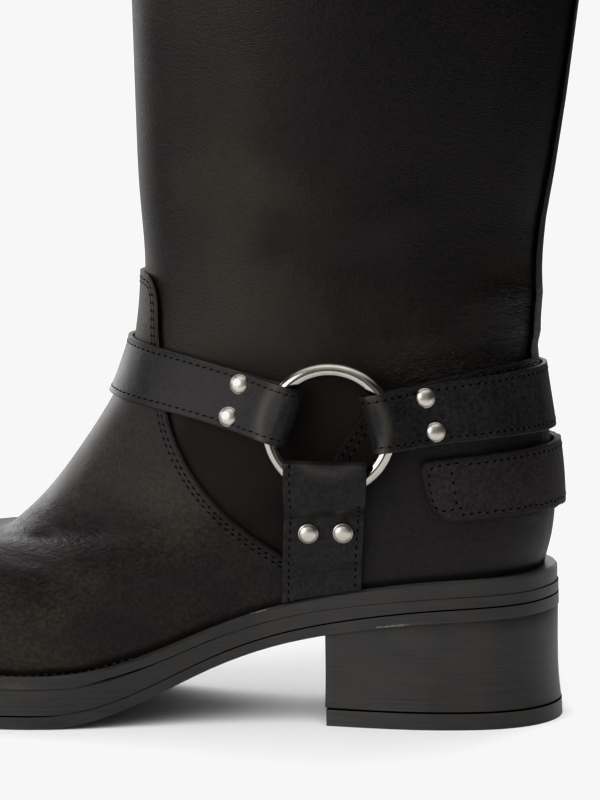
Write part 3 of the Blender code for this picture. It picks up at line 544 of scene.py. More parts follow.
def edge_runs(piece):
    """The outward edges of a piece as runs of points, with the face's normal and the way in at each."""
    build = bmesh.new()
    build.from_mesh(piece.data)
    rim = {}
    for edge in build.edges:
        if len(edge.link_faces) != 2 or edge.calc_face_angle(0) < RIM_ANGLE:
            continue
        middle = (edge.verts[0].co + edge.verts[1].co) / 2
        away = skin.find_nearest(middle)[1]
        face = max(edge.link_faces, key=lambda f: f.normal.dot(away))
        if face.normal.dot(away) > 0.5:
            inward = face.normal.cross(edge.verts[1].co - edge.verts[0].co).normalized()
            if inward.dot(face.calc_center_median() - middle) < 0:
                inward.negate()
            rim[edge] = (face.normal.copy(), inward)
    runs, free = [], set(rim)
    ends = [e for e in rim if any(sum(k in rim for k in v.link_edges) != 2 for v in e.verts)]
    for start in [*ends, *rim]:
        if start not in free:
            continue
        tip = next((v for v in start.verts if sum(k in rim for k in v.link_edges) != 2), start.verts[0])
        run, edge = [], start
        while edge in free:
            free.discard(edge)
            tail = edge.other_vert(tip)
            run.append(RimPoint((tip.co + tail.co) / 2, *rim[edge]))
            onward = (tail.co - tip.co).normalized()
            tip, options = tail, [k for k in tail.link_edges if k in free]
            options = [k for k in options if (k.other_vert(tail).co - tail.co).normalized().dot(onward) > 0.6]
            edge = options[0] if options else None
        runs.append(run)
    build.free()
    return runs


def rim_tree(rim):
    """A search tree of the points of a rim."""
    tree = KDTree(len(rim))
    for i, point in enumerate(rim):
        tree.insert(point.place, i)
    tree.balance()
    return tree


def mark_edge(piece, runs):
    """Marks each point's distance from the nearest outward edge, in millimetres, for the leather's edge."""
    tree = rim_tree([point for run in runs for point in run])
    away = [min(FAR_FROM_EDGE, tree.find(v.co)[2] / MM) for v in piece.data.vertices]
    mark(piece.data, "edge_mm", away)


STITCH_LONG, STITCH_THICK, STITCH_PITCH, TWIST_MM = 1.4, 0.36, 2.7, 0.4
STITCH_BODY, STITCH_TIP, STITCH_DIP = 0.6, 0.2, 0.34  # shares of its length, and of its thickness
SLIT_LONG, SLIT_WIDE, SLIT_DEEP, SLIT_TURN = 1.35, 0.52, 0.3, math.radians(14)


def one_stitch():
    """A stitch of twisted thread lying along X, its ends tapered where they go down through the leather."""
    bpy.ops.object.select_all(action="DESELECT")
    bpy.ops.mesh.primitive_cylinder_add(
        vertices=6, radius=STITCH_THICK / 2 * MM, depth=STITCH_LONG * STITCH_BODY * MM,
        rotation=(0, math.pi / 2, 0),
    )
    stitch = bpy.context.object
    bpy.ops.object.transform_apply(location=True, rotation=True, scale=True)
    for end in (-1, 1):
        with editing("DESELECT"):
            bpy.ops.mesh.select_mode(type="FACE")
        dip = (end * STITCH_LONG * STITCH_TIP * MM, 0, -STITCH_THICK * STITCH_DIP * MM)
        for face in stitch.data.polygons:
            face.select = face.normal.x * end > 0.9
        with editing():
            bpy.ops.mesh.extrude_region_move(TRANSFORM_OT_translate={"value": dip})
            bpy.ops.transform.resize(value=(1, 0.55, 0.5))
    return stitch


def one_slit():
    """The slit of a leather needle, as a lens set slantwise to the row and painted black as the shade in the
    hole.
    """
    bpy.ops.object.select_all(action="DESELECT")
    bpy.ops.mesh.primitive_cylinder_add(vertices=8, radius=0.5 * MM, depth=SLIT_DEEP * MM)
    slit = bpy.context.object
    with editing("SELECT"):
        bpy.ops.transform.resize(value=(SLIT_LONG, SLIT_WIDE, 1))
    slit.data.transform(Matrix.Rotation(SLIT_TURN, 4, "Z"))
    return slit


def shape_of(pattern):
    """Points and faces of a pattern piece, which is then taken away."""
    shape = points_of(pattern.data), [face.vertices[:] for face in pattern.data.polygons]
    bpy.data.objects.remove(pattern)
    return shape


stitch_shape, slit_shape = shape_of(one_stitch()), shape_of(one_slit())
ROW_REACH = 0.6 * MM  # how far to each side of a stitch its row's direction is read


def sew(name, rows, slot):
    """One object of stitches along rows of (place, normal) points: thread, with needle slits between, painted
    black as shade.
    """
    points, faces, finish = [], [], []
    for row in rows:
        places = np.array([place for place, _ in row])
        outs = np.array([out for _, out in row])
        along = np.concatenate([[0], np.cumsum(np.linalg.norm(np.diff(places, axis=0), axis=1))])
        count = int(along[-1] / (STITCH_PITCH * MM))
        for step in range(2 * count):
            at = (step + 0.5) * along[-1] / (2 * count)
            middle, ahead, behind = (
                np.array([np.interp(a, along, places[:, k]) for k in range(3)])
                for a in (at, at + ROW_REACH, at - ROW_REACH)
            )
            run = Vector(ahead - behind).normalized()
            up = Vector([np.interp(at, along, outs[:, k]) for k in range(3)])
            side = up.cross(run).normalized()
            turn = np.array([run, side, run.cross(side)])
            shape, shape_faces = (stitch_shape, slit_shape)[step % 2]
            faces += [tuple(len(points) + i for i in face) for face in shape_faces]
            finish += [step % 2] * len(shape_faces)
            points += list(shape @ turn + middle)
    made = placed(name, bpy.data.meshes.new(name))
    made.data.from_pydata(points, [], faces)
    made.data.polygons.foreach_set("material_index", finish)
    dress(made, slot, (THREAD, SLIT_AND_GAP_SHADE))


# A stitch is left out where the piece itself covers it within this reach, and so is a row of few points
COVER_LIFT, COVER_REACH, SHORTEST_ROW = 0.3 * MM, 12 * MM, 3


def stitch_rows(piece, runs, insets, keep):
    """Rows in from the edges of a piece, at each inset in millimetres, where keep allows the point."""
    build = bmesh.new()
    build.from_mesh(piece.data)
    face = BVHTree.FromBMesh(build)
    build.free()
    rows = []
    for run in runs:
        for inset in insets:
            row = []
            for point in run:
                place, out, _, _ = face.find_nearest(point.place + inset * MM * point.inward)
                covered = face.ray_cast(place + out * COVER_LIFT, out, COVER_REACH)[0]
                if covered is None and out.dot(point.out) > 0.5 and keep(place):
                    row.append((place, out))
                elif row:
                    rows.append(row)
                    row = []
            rows.append(row)
    return [row for row in rows if len(row) > SHORTEST_ROW]


def station(place):
    return HEEL_BACK - place.x / MM


def waxed_thread():
    """Bonded polyester thread with wax: near black, with the sheen of its twist across each stitch."""
    made, tree, place = new_material("waxed polyester thread, black")
    twist = put(tree, "TexNoise.Fac", {"Vector": place, "Scale": 1000 / TWIST_MM, "Detail": 2.0})
    colour = put(tree, "ValToRGB.Color", {"Fac": twist}, ((0.3, "#191818"), (0.7, "#262424")))
    bump = put(tree, "Bump.Normal", {"Height": twist, "Strength": 0.6, "Distance": 0.15 * MM})
    return shaded(
        made, {"Base Color": colour, "Normal": bump, "Roughness": 0.5, "Specular IOR Level": 0.2}
    )


def matt_black(name, grit_mm, hues):
    """A gap that light hardly enters, black: painted shade in needle slits and in the backstay's gap, and
    black cement in a joint. It has a trace of raw fibre or fallen grit, and no gloss.
    """
    made, tree, place = new_material(name)
    grit = put(tree, "TexNoise.Fac", {"Vector": place, "Scale": 1000 / grit_mm, "Detail": 2.0})
    colour = put(tree, "ValToRGB.Color", {"Fac": grit}, zip((0.4, 0.8), hues))
    return shaded(made, {"Base Color": colour, "Roughness": 1.0, "Specular IOR Level": 0.0})


THREAD = waxed_thread()
SLIT_AND_GAP_SHADE = matt_black("needle slits and seam gaps, painted shade", 0.5, ("#020202", "#080706"))
PAST_TOE = 300.0
vamp_outline = [*flowing(VAMP_EDGE), (PAST_TOE, 0.0), (PAST_TOE, VAMP_EDGE[0][1])]
vamp, vamp_runs = laid_panel("vamp_panel", vamp_outline, -WHOLE_WIDTH, WHOLE_WIDTH, PANEL_FACE)
# The palest of these hues is reached only where the tone is raised most, on the tongue, as a painted
# highlight
VAMP_HIDE = waxed_leather(
    "waxed cowhide, black, cut edge", ("#1d191d", "#25211f", "#312c23", "#464240"), 0.6, 40.0, (0.42, 0.54),
    0.16, edge_hue="#0d0c0b", grain=0.40, worn=True, tint="#fff3ee", edge_wide=2.2,
)
vamp_rows = stitch_rows(
    vamp, vamp_runs, VAMP_INSETS, lambda p: p.z > VAMP_ROWS_OVER and station(p) < VAMP_ROWS_TO
)
vamp_face = faces_tree(vamp.data)
dress(vamp, "upper_leather", (VAMP_HIDE,), "vamp")
sew("vamp_seam_stitches", vamp_rows, "upper_leather")


# Heel counters: a stiffened panel on each side of the heel, of the same cowhide, rising to a point by the
# ring. Two rows of thread hold their curved edge, which shows in the middle of the ring.
COUNTER_EDGE = (  # station and height, from the welt up and then round to the back
    (77.0, 30.0), (77.0, 44.0), (76.0, 62.0), (75.0, 80.0), (72.8, 88.9), (68.6, 96.6), (63.7, 103.2),
    (58.5, 108.6), (48.0, 113.6), (34.1, 117.0), (18.0, 119.6), (-20.0, 123.0),
)
COUNTER_INSETS, COUNTER_ROWS_OVER, COUNTER_ROWS_FROM = (1.9, 4.3), 60 * MM, 14
FOOT_MIDDLE = 0.7  # y of the middle of the foot, in millimetres
BACKSTAY_HALF, BACKSTAY_GAP = 9.5, 0.3
counter_outline = [*flowing(COUNTER_EDGE), (COUNTER_EDGE[-1][0], 0.0), (COUNTER_EDGE[0][0], 0.0)]
COUNTER_HIDE = waxed_leather(
    "waxed cowhide, black, heel", ("#171418", "#1b181a", "#221f1e"), 0.6, 34.0, (0.40, 0.50), 0.20,
    edge_hue="#0d0c0b", harness_shade_hues=("#0a0604", "#150e09"), worn=True,
)
for side, low_y, high_y in (
    ("lateral", -WHOLE_WIDTH, FOOT_MIDDLE - BACKSTAY_HALF - BACKSTAY_GAP),
    ("medial", FOOT_MIDDLE + BACKSTAY_HALF + BACKSTAY_GAP, WHOLE_WIDTH),
):
    counter, counter_runs = laid_panel("counter_panel_" + side, counter_outline, low_y, high_y, PANEL_FACE)
    rows = stitch_rows(
        counter, counter_runs, COUNTER_INSETS,
        lambda p: p.z > COUNTER_ROWS_OVER and station(p) > COUNTER_ROWS_FROM,
    )
    dress(counter, "upper_leather", (COUNTER_HIDE,), "counter_" + side)
    sew("counter_stitches_" + side, rows, "upper_leather")


# Backstay: a strip of the same cowhide over the back seam, narrowing from the heel up to the collar.
# It is glued and blind-stitched into the seam, so its edges show only as a dark gap, painted black on its
# side walls as shade.
BACKSTAY_FACE, BACKSTAY_FROM, BACKSTAY_TO = 1.3, -70, 60
BACKSTAY_HALVES = ((BACKSTAY_HALF, 0), (BACKSTAY_HALF, 118), (8.6, 150), (7.2, 185), (5.4, 235), (4.6, 330))
backstay_outline = [(FOOT_MIDDLE - half, z) for half, z in BACKSTAY_HALVES]
backstay_outline += [(FOOT_MIDDLE + half, z) for half, z in reversed(BACKSTAY_HALVES)]
backstay, _ = laid_panel(
    "backstay_strip", backstay_outline, BACKSTAY_FROM, BACKSTAY_TO, BACKSTAY_FACE, from_behind=True
)
# The side walls, facing across, are painted black as the shade of the seam's gap
for face in backstay.data.polygons:
    face.material_index = 1 if abs(face.normal.y) > 0.8 else 0
dress(backstay, "upper_leather", (VAMP_HIDE, SLIT_AND_GAP_SHADE), "backstay")


# Collar: the top edge of the shaft's own leather, cut plain and left unfolded.
# One row of thread just under the edge holds the lining to it, and stops at the backstay.
COLLAR_ABOVE, COLLAR_INSET, COLLAR_GAP, COLLAR_BACK = 300 * MM, 3.0, 10.5 * MM, 60 * MM
collar_runs = [run for run in edge_runs(upper) if run and run[0].place.z > COLLAR_ABOVE]
collar_rows = stitch_rows(
    upper, collar_runs, (COLLAR_INSET,),
    lambda p: abs(p.y - FOOT_MIDDLE * MM) > COLLAR_GAP or p.x < COLLAR_BACK,
)
sew("collar_stitches", collar_rows, "upper_leather")


# Insole: a footbed of brown leather on board.
# It is cut to the inside of the upper and laid on the midsole.
insole = rounded(from_node("insole", "insole_footbed"), 2)
dress(insole, "insole_lining", (LINING_HIDE,), "insole")


# Sole: welt, midsole and outsole of black rubber, glued up, trimmed flush and burnished along the edge.
# The trimming leaves fine scratches along each layer and a thin dark line at each joint.
# The angle from which an edge is broken, the longest edge that is squared, and the most that a wall leans
BROKEN_OVER, SQUARED_UNDER, WALL_LEAN = math.radians(30), 1.4 * MM, 0.25
BACK_PULL_FROM, LAYER_EDGE = 16, 0.14  # station where the pull at the back starts, width of a broken edge


def broken_edges(piece, width):
    """Rounds a form's edges by that many millimetres."""
    only(piece)
    edge = piece.modifiers.new("broken edge", "BEVEL")
    edge.width, edge.segments, edge.limit_method, edge.angle_limit = width * MM, 2, "ANGLE", BROKEN_OVER
    bpy.ops.object.modifier_apply(modifier=edge.name)


Scuff = namedtuple("Scuff", "at z long high rise hue")
# Pale scuffs and dust: middle, half length and half height in millimetres, and the climb towards the heel
SCUFFS = (
    Scuff(53.0, 34.8, 15.0, 1.0, 0.12, "#6a655d"), Scuff(97.0, 38.6, 8.0, 0.9, 0.28, "#6a655d"),
    Scuff(176.0, 14.6, 16.0, 3.0, 0.0, "#3d342a"),
)
SCRATCH_MM, SCRATCH_LONG_MM, SMEAR_MM, GRIT_MM = 0.5, 100 / 3, 22.0, 0.9


def trimmed_rubber(name, hues, roughness):
    """Moulded rubber, sanded and waxed at its edge: dark, half matt, with scratches along it and scuffs."""
    made, tree, place = new_material(name)
    along = slanted(tree, place, 0, (SCRATCH_LONG_MM, SCRATCH_LONG_MM, SCRATCH_MM))
    scratches = put(tree, "TexNoise.Fac", {"Vector": along, "Scale": 1.0, "Detail": 4.0, "Roughness": 0.7})
    clouds = put(
        tree, "TexNoise.Fac", {"Vector": place, "Scale": 1000 / SMEAR_MM, "Detail": 5.0, "Roughness": 0.6}
    )
    grit = put(
        tree, "TexNoise.Fac", {"Vector": place, "Scale": 1000 / GRIT_MM, "Detail": 3.0, "Roughness": 0.7}
    )
    colour = put(tree, "ValToRGB.Color", {"Fac": clouds}, zip((0.3, 0.7), hues))
    worn = put(tree, "ValToRGB.Color", {"Fac": scratches}, ((0.35, "#d0cecc"), (0.62, "#ffffff")))
    colour = put(
        tree, MIX, {"Factor": 1.0, MIX_A: colour, MIX_B: worn}, data_type="RGBA", blend_type="MULTIPLY"
    )
    for scuff in SCUFFS:
        middle = ((HEEL_BACK - scuff.at) * MM, 0, scuff.z * MM)
        from_middle = put(tree, "VectorMath.Vector", {0: place, 1: middle}, operation="SUBTRACT")
        wear_and_painted_light = slanted(tree, from_middle, math.atan(scuff.rise), (scuff.long, 0, scuff.high))
        away = put(tree, "VectorMath.Value", {0: wear_and_painted_light}, operation="LENGTH")
        inside = put(
            tree, "MapRange.Result",
            {"Value": away, "From Min": 1.0, "From Max": 0.2, "To Min": -0.5, "To Max": 0.14},
        )
        broken = put(tree, "Math.Value", {0: inside, 1: grit}, operation="ADD")
        shown = put(tree, "MapRange.Result", {"Value": broken, "From Min": 0.5, "From Max": 0.66})
        colour = put(tree, MIX, {"Factor": shown, MIX_A: colour, MIX_B: linear(scuff.hue)}, data_type="RGBA")
    bump = put(tree, "Bump.Normal", {"Height": scratches, "Strength": 0.2, "Distance": 0.14 * MM})
    bump = put(tree, "Bump.Normal", {"Height": grit, "Strength": 0.2, "Distance": 0.15 * MM, "Normal": bump})
    gloss = put(
        tree, "MapRange.Result",
        {"Value": clouds, "From Min": 0.3, "From Max": 0.7, "To Min": roughness[0], "To Max": roughness[1]},
    )
    return shaded(
        made, {"Base Color": colour, "Roughness": gloss, "Normal": bump, "Specular IOR Level": 0.28}
    )


Layer = namedtuple("Layer", "node name out pull top bottom")  # moves of its faces in millimetres


def trim_flush(piece, cut):
    """Squares a layer's broken edges, brings its wall out to lie flush with the others, draws its back end in
    by the pull, and lifts its top and bottom faces for the width of the joints."""
    build = bmesh.new()
    build.from_mesh(piece.data)
    moves = {}
    for edge in build.edges:
        if edge.calc_length() > SQUARED_UNDER:
            continue
        wall = [v for v in edge.verts if any(abs(f.normal.z) < WALL_LEAN for f in v.link_faces)]
        if len(wall) != 1:
            continue
        cap = edge.other_vert(wall[0])
        if cut.node == "welt" and cap.co.z > wall[0].co.z:
            continue
        away = sum((f.normal for f in wall[0].link_faces if abs(f.normal.z) < WALL_LEAN), Vector())
        away = Vector((away.x, away.y, 0)).normalized() * cut.out * MM
        if away.x < -0.9 * cut.out * MM and cut.node.startswith("heel"):
            away = Vector()
        moves[wall[0]] = wall[0].co + away
        moves[cap] = Vector((wall[0].co.x + away.x, wall[0].co.y + away.y, cap.co.z))
    lifts = {v: cut.top if any(f.normal.z > 0.5 for f in v.link_faces) else cut.bottom for v in build.verts}
    for vert, place in moves.items():
        vert.co = place
    for vert in build.verts:
        vert.co.z += lifts[vert] * MM
        near_back = max(0.0, 1 - (HEEL_BACK - vert.co.x / MM) / BACK_PULL_FROM)
        vert.co.x -= cut.pull * MM * min(1.0, near_back * 1.1)
    build.to_mesh(piece.data)
    build.free()


BREAST_DEPTH, CEMENTED_OVER = 3, 0.72  # millimetres that count as the front face, slope of a cemented face


def glued_layer(cut, rubber, above, below, breast_trim=0.0):
    """A layer trimmed to size and rounded, its level faces kept flat, with cement where another lies."""
    layer = from_node(cut.node, cut.name)
    trim_flush(layer, cut)
    breast = max(station(v.co) for v in layer.data.vertices) - BREAST_DEPTH
    for vert in layer.data.vertices:
        vert.co.x += breast_trim * MM if station(vert.co) > breast else 0
    heights = [v.co.z for v in layer.data.vertices]
    rounded(layer, 2, sharp=30)
    for vert in layer.data.vertices:
        vert.co.z = min(max(vert.co.z, min(heights)), max(heights))
    broken_edges(layer, LAYER_EDGE)
    for face in layer.data.polygons:
        level = face.normal.z
        face.material_index = 1 if above and level > CEMENTED_OVER or below and level < -CEMENTED_OVER else 0
    dress(layer, "sole_rubber", (rubber, CEMENT), cut.node)


CEMENT = matt_black("contact cement, black", 0.8, ("#030303", "#0a0908"))
EDGE_RUBBER = trimmed_rubber("burnished rubber, black", ("#282727", "#343230"), (0.36, 0.48))
glued_layer(Layer("welt", "welt_strip", 0.0, 2.0, 0.0, 0.0), EDGE_RUBBER, above=False, below=True)
glued_layer(Layer("midsole", "midsole_layer", 0.42, 1.5, 0.2, 0.1), EDGE_RUBBER, above=True, below=True)
glued_layer(Layer("outsole", "outsole_layer", 0.15, 1.4, -0.15, 0.0), EDGE_RUBBER, above=True, below=False)


# Welt stitches: one row of the same black thread along each side of the forefoot.
# It runs on the welt close to the foot of the upper, and sews the two together.
WELT_ROW_FROM, WELT_ROW_TO, WELT_ROW_STEP, WELT_ROW_OUT = 104.0, 232.0, 1.5, 1.0
WELT_HEIGHTS = np.arange(60.0, 10.0, -0.5)  # searched downwards for the welt's rim
BESIDE, ABOVE = 0.2, 0.08  # where lines of sight start, in metres beside the boot and over the floor
welt_rows = []
for side in (-1, 1):
    row = []
    for at in np.arange(WELT_ROW_FROM, WELT_ROW_TO, WELT_ROW_STEP):
        x = (HEEL_BACK - at) * MM
        for z in WELT_HEIGHTS:
            rim = welt_rim.ray_cast(Vector((x, side * BESIDE, z * MM)), Vector((0, -side, 0)))[0]
            if rim is not None:
                break
        wall = vamp_face.ray_cast(Vector((x, side * BESIDE, (z + 1.0) * MM)), Vector((0, -side, 0)))[0]
        if rim is None or wall is None:
            continue
        over_row = Vector((x, wall.y + side * WELT_ROW_OUT * MM, ABOVE))
        place, up, _, _ = welt_rim.ray_cast(over_row, Vector((0, 0, -1)))
        if place is not None and up.z > 0.5:
            row.append((place, up))
    welt_rows.append(row)
sew("welt_stitches", [row for row in welt_rows if len(row) > SHORTEST_ROW], "sole_rubber")


# Heel: a block of rubber lifts trimmed as one, with a walking lift nailed on underneath.
# The lifts show as fine level lines all round, and the joint over the walking lift as a dark line.
HEEL_BREAST_TRIM = 0.7
HEEL_RUBBER = trimmed_rubber("stacked rubber lifts, black", ("#292828", "#353331"), (0.38, 0.50))
for cut, stands_on_lift in (
    (Layer("heel_block", "heel_block_stack", 0.6, 0.3, 0.2, 0.2), True),
    (Layer("heel_top_lift", "heel_walking_lift", 0.3, 0.0, -0.2, 0.0), False),
):
    glued_layer(cut, HEEL_RUBBER, above=True, below=stands_on_lift, breast_trim=HEEL_BREAST_TRIM)


# Harness straps: smooth black strap leather in bands, each end turned round a ring and riveted to itself.
# One row of thread runs along each edge. The raw edges are dyed dark, with painted shade along them, and the
# bend over the wire carries a painted highlight and is glossier.
STRAP_HIDE = waxed_leather(
    "smooth strap leather, black", ("#1c1a1d", "#201f20", "#252423"), 0.6, 22.0, (0.34, 0.45), 0.16,
    edge_hue="#151414", grain=0.2, wire_highlight_hue="#4a4741",
)
STRAP_INSET, STRAP_EDGE, STRAP_BENDS = 2.1, 0.3, 72
# The section of a strap where its return ends, the return's rise, and how far the slope down from it reaches
STEP_AT, STEP_HIGH, STEP_FADE = 14, 1.9, 36.0
# The first section of a loop's outer half, and how far that section and those after it swell
LOOP_AT, LOOP_SWELL = 7, (0.2, 0.8, 1.6, 1.9, 1.0, 0.2)
LONG_STRAP, SOFTENED = 30, 3  # sections of a strap with a loop at both ends, and rounds of smoothing


def sections_along(build):
    """How many sections each point of a strap's coarse mesh lies from one cut end."""

    def steps_from(start):
        steps, wave = {v: 0 for v in start}, list(start)
        for vert in wave:
            for edge in vert.link_edges:
                other = edge.other_vert(vert)
                if other not in steps:
                    steps[other] = steps[vert] + 1
                    wave.append(other)
        return steps

    corners = [v for v in build.verts if len(v.link_edges) == 3]
    first = steps_from(corners[:1])
    reach = [steps_from([corner]) for corner in sorted(corners, key=first.get)[:4]]
    across = [(a, b) for a in reach for b in reach if [v for v in a if a[v] == 0 and b[v] == 3]]
    return steps_from([v for v in build.verts if any(a[v] + b[v] == 3 for a, b in across)])


def ease_step(piece):
    """Lets a strap slope down slowly from the end of its return, and its bends near the ring run soft."""
    build = bmesh.new()
    build.from_mesh(piece.data)
    section = sections_along(build)
    count = max(section.values()) + 1
    rings = [[v for v in build.verts if section[v] == i] for i in range(count)]
    middles = [sum((v.co for v in ring), Vector()) / len(ring) for ring in rings]
    both_ends = count > LONG_STRAP

    def lift(i, rise):
        for vert in rings[i]:
            vert.co += skin.find_nearest(vert.co)[1] * rise * MM

    for order in [list(range(count)), list(range(count - 1, -1, -1))][: 1 + both_ends]:
        places = order[STEP_AT : count // 2 if both_ends else count]
        runs = [0.0] + [(middles[b] - middles[a]).length / MM for a, b in zip(places, places[1:])]
        fade, past = STEP_FADE if both_ends else sum(runs), 0.0
        for step, i in enumerate(places):
            past += runs[step]
            share = min(1.0, past / fade)
            cad_rise = (STEP_HIGH, STEP_HIGH / 2, 0)[min(step, 2)]
            lift(i, STEP_HIGH * (1 - share * share * (3 - 2 * share)) - cad_rise)
        for i, swell in zip(order[LOOP_AT:], LOOP_SWELL):
            lift(i, swell)
        for _ in range(SOFTENED):
            moved = {}
            for i in order[STEP_AT - 4 : STEP_AT + 3]:
                for vert in rings[i]:
                    others = [e.other_vert(vert) for e in vert.link_edges]
                    beside = [other.co for other in others if abs(section[other] - i) == 1]
                    if len(beside) == 2:
                        moved[vert] = (beside[0] + 2 * vert.co + beside[1]) / 4
            for vert, place in moved.items():
                vert.co = place
    build.to_mesh(piece.data)
    build.free()
    return piece


LOWER_STRAP_WIDER, SAME_LEVEL, END_ACROSS = 1.6, 5, 12 * MM  # an end's run climbs less than the last


def widen(piece):
    """Brings the front edge of a lower strap forward, below the ring."""
    flat = side_view(points_of(piece.data))
    for vert, (at, z) in zip(piece.data.vertices, flat):
        level = flat[np.abs(flat[:, 1] - z) < SAME_LEVEL, 0]
        share = (at - level.min()) / (level.max() - level.min())
        vert.co.x -= LOWER_STRAP_WIDER * MM * np.clip(share, 0, 1)


def own_axes(node):
    """Middle of a CAD node, the way in which it is thinnest, turned away from the boot, and its points."""
    points = np.unique(np.round(points_of(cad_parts[node].data), 7), axis=0)
    middle = points.mean(axis=0)
    thin = Vector(np.linalg.svd(points - middle)[2][2])
    if thin.dot(skin.find_nearest(Vector(middle))[1]) < 0:
        thin.negate()
    return Vector(middle), thin, points


WireHighlight = namedtuple("WireHighlight", "radius reach strength")
WIRE_HIGHLIGHTS = {  # radius from the ring's middle and half width of the band of painted highlight, in millimetres
    "front_strap": WireHighlight(22.6, 1.5, 0.5), "rear_strap": WireHighlight(18.6, 1.6, 0.65),
    "lower_strap_lateral": WireHighlight(13.6, 1.8, 0.3), "lower_strap_medial": WireHighlight(13.6, 1.8, 0.3),
}
WIRE_HIGHLIGHT_DEPTH = 12 * MM  # how far from the ring's plane a point still counts as on its loop


def mark_wire_highlight(piece, band):
    """Marks how much painted highlight, with a lower roughness, each point of a strap carries where it bends
    over the wire of a ring.
    """
    places, near = points_of(piece.data), np.zeros(len(piece.data.vertices))
    for side in ("lateral", "medial"):
        middle, facing, _ = own_axes("ring_" + side)
        offset = places - np.array(middle)
        level = offset @ np.array(facing)
        radius = np.linalg.norm(offset - level[:, None] * np.array(facing), axis=1)
        wear_and_painted_light = np.exp(-(((radius / MM - band.radius) / band.reach) ** 2)) * (np.abs(level) < WIRE_HIGHLIGHT_DEPTH)
        near = np.maximum(near, wear_and_painted_light * band.strength)
    mark(piece.data, "wire_highlight_share", near)


for node, name in (
    ("front_strap", "front_harness_strap"), ("rear_strap", "rear_harness_strap"),
    ("lower_strap_lateral", "lower_harness_strap_lateral"),
    ("lower_strap_medial", "lower_harness_strap_medial"),
):
    strap = ease_step(from_node(node, name))
    runs_down = node.startswith("lower")
    if runs_down:
        widen(strap)
    rounded(strap, 2, sharp=STRAP_BENDS)
    runs = edge_runs(strap)
    sides = [run for run in runs if not runs_down or abs(run[0].place.z - run[-1].place.z) > END_ACROSS]
    rows = stitch_rows(strap, sides, (STRAP_INSET,), lambda p: True)
    broken_edges(strap, STRAP_EDGE)
    mark_edge(strap, runs)
    mark_wire_highlight(strap, WIRE_HIGHLIGHTS[node])
    dress(strap, "strap_leather", (STRAP_HIDE,), node)
    sew(name + "_stitches", rows, "strap_leather")


# Heel tab: a short strap of black leather with a rougher face, sewn round the heel below the harness.
# Its ends are cut by hand. One row of thread runs all round it, and another across each end.
TAB_END_FROM = 28.0
TAB_END = (  # height and station of the hand-cut end, in millimetres
    (69.0, 35.0), (70.6, 38.4), (72.4, 40.6), (75.5, 42.0), (82.0, 43.2), (86.5, 44.0), (89.0, 43.6),
    (90.4, 42.0), (91.6, 38.5),
)
TAB_END_ROWS = (  # station and height along the stitches at the end, and across it
    ((30.5, 89.4), (38.6, 88.1), (41.0, 86.6), (41.2, 82.5), (40.0, 76.4), (38.4, 73.8), (36.2, 73.4),
     (30.5, 74.4)),
    ((34.7, 88.0), (34.0, 85.6), (33.2, 81.0), (32.4, 75.4)),
)
TAB_INSET, TAB_ROWS_TO, TAB_LEVEL, RAGGED_REACH = 2.2, 31, 1.0, 3 * MM
Bite = namedtuple("Bite", "per_metre deep")
BITES = (Bite(330, 0.5), Bite(900, 0.25))  # unevenness of the cut, coarse and fine, depth in millimetres
tab = rounded(from_node("heel_tab", "heel_tab_strap"), 3)
flat = side_view(points_of(tab.data))
for vert, (at, z) in zip(tab.data.vertices, flat):
    if at > TAB_END_FROM:
        cad_end = flat[np.abs(flat[:, 1] - z) < TAB_LEVEL, 0].max()
        new_end = np.interp(z, *np.array(TAB_END).T)
        away = skin.find_nearest(vert.co)[3]
        vert.co.x -= (new_end - cad_end) * (at - TAB_END_FROM) / (cad_end - TAB_END_FROM) * MM
        seat, out, _, _ = skin.find_nearest(vert.co)
        vert.co = seat + out * away
tab_rim = [point for run in edge_runs(tab) for point in run]
ragged = rim_tree(tab_rim)
for vert in tab.data.vertices:
    _, i, away = ragged.find(vert.co)
    if away < RAGGED_REACH:
        uneven = sum(noise.noise(vert.co * bite.per_metre) * bite.deep for bite in BITES)
        vert.co += tab_rim[i].inward * uneven * MM * (1 - away / RAGGED_REACH)
tab_runs = edge_runs(tab)
tab_rows = stitch_rows(tab, tab_runs, (TAB_INSET,), lambda p: station(p) < TAB_ROWS_TO)
tab_face = faces_tree(tab.data)
for side in (-1, 1):
    for line in TAB_END_ROWS:
        starts = [Vector(((HEEL_BACK - at) * MM, side * BESIDE, z * MM)) for at, z in flowing(line)]
        hits = [tab_face.ray_cast(start, Vector((0, -side, 0)))[:2] for start in starts]
        tab_rows.append([hit for hit in hits if hit[0] is not None])
broken_edges(tab, STRAP_EDGE)
mark_edge(tab, tab_runs)
TAB_HIDE = waxed_leather(
    "rough strap leather, black", ("#221d22", "#272226", "#2d2829"), 0.5, 18.0, (0.5, 0.62), 0.16,
    edge_hue="#0b0a0b", grain=0.45, edge_wide=1.8,
)
dress(tab, "strap_leather", (TAB_HIDE,), "heel_tab")
sew("heel_tab_stitches", tab_rows, "strap_leather")


# Rings: round steel wire bent to a ring, butt-welded, ground and plated with polished nickel.
# Three strap loops hold each one, and the front strap's loop hides the bead of the weld.
RING_RADIUS, WIRE_RADIUS = 19.7, 2.3
WELD_LONG, WELD_HIGH = 1.7, 0.12  # half length and height of the bead
HAZE_MM = 3.0


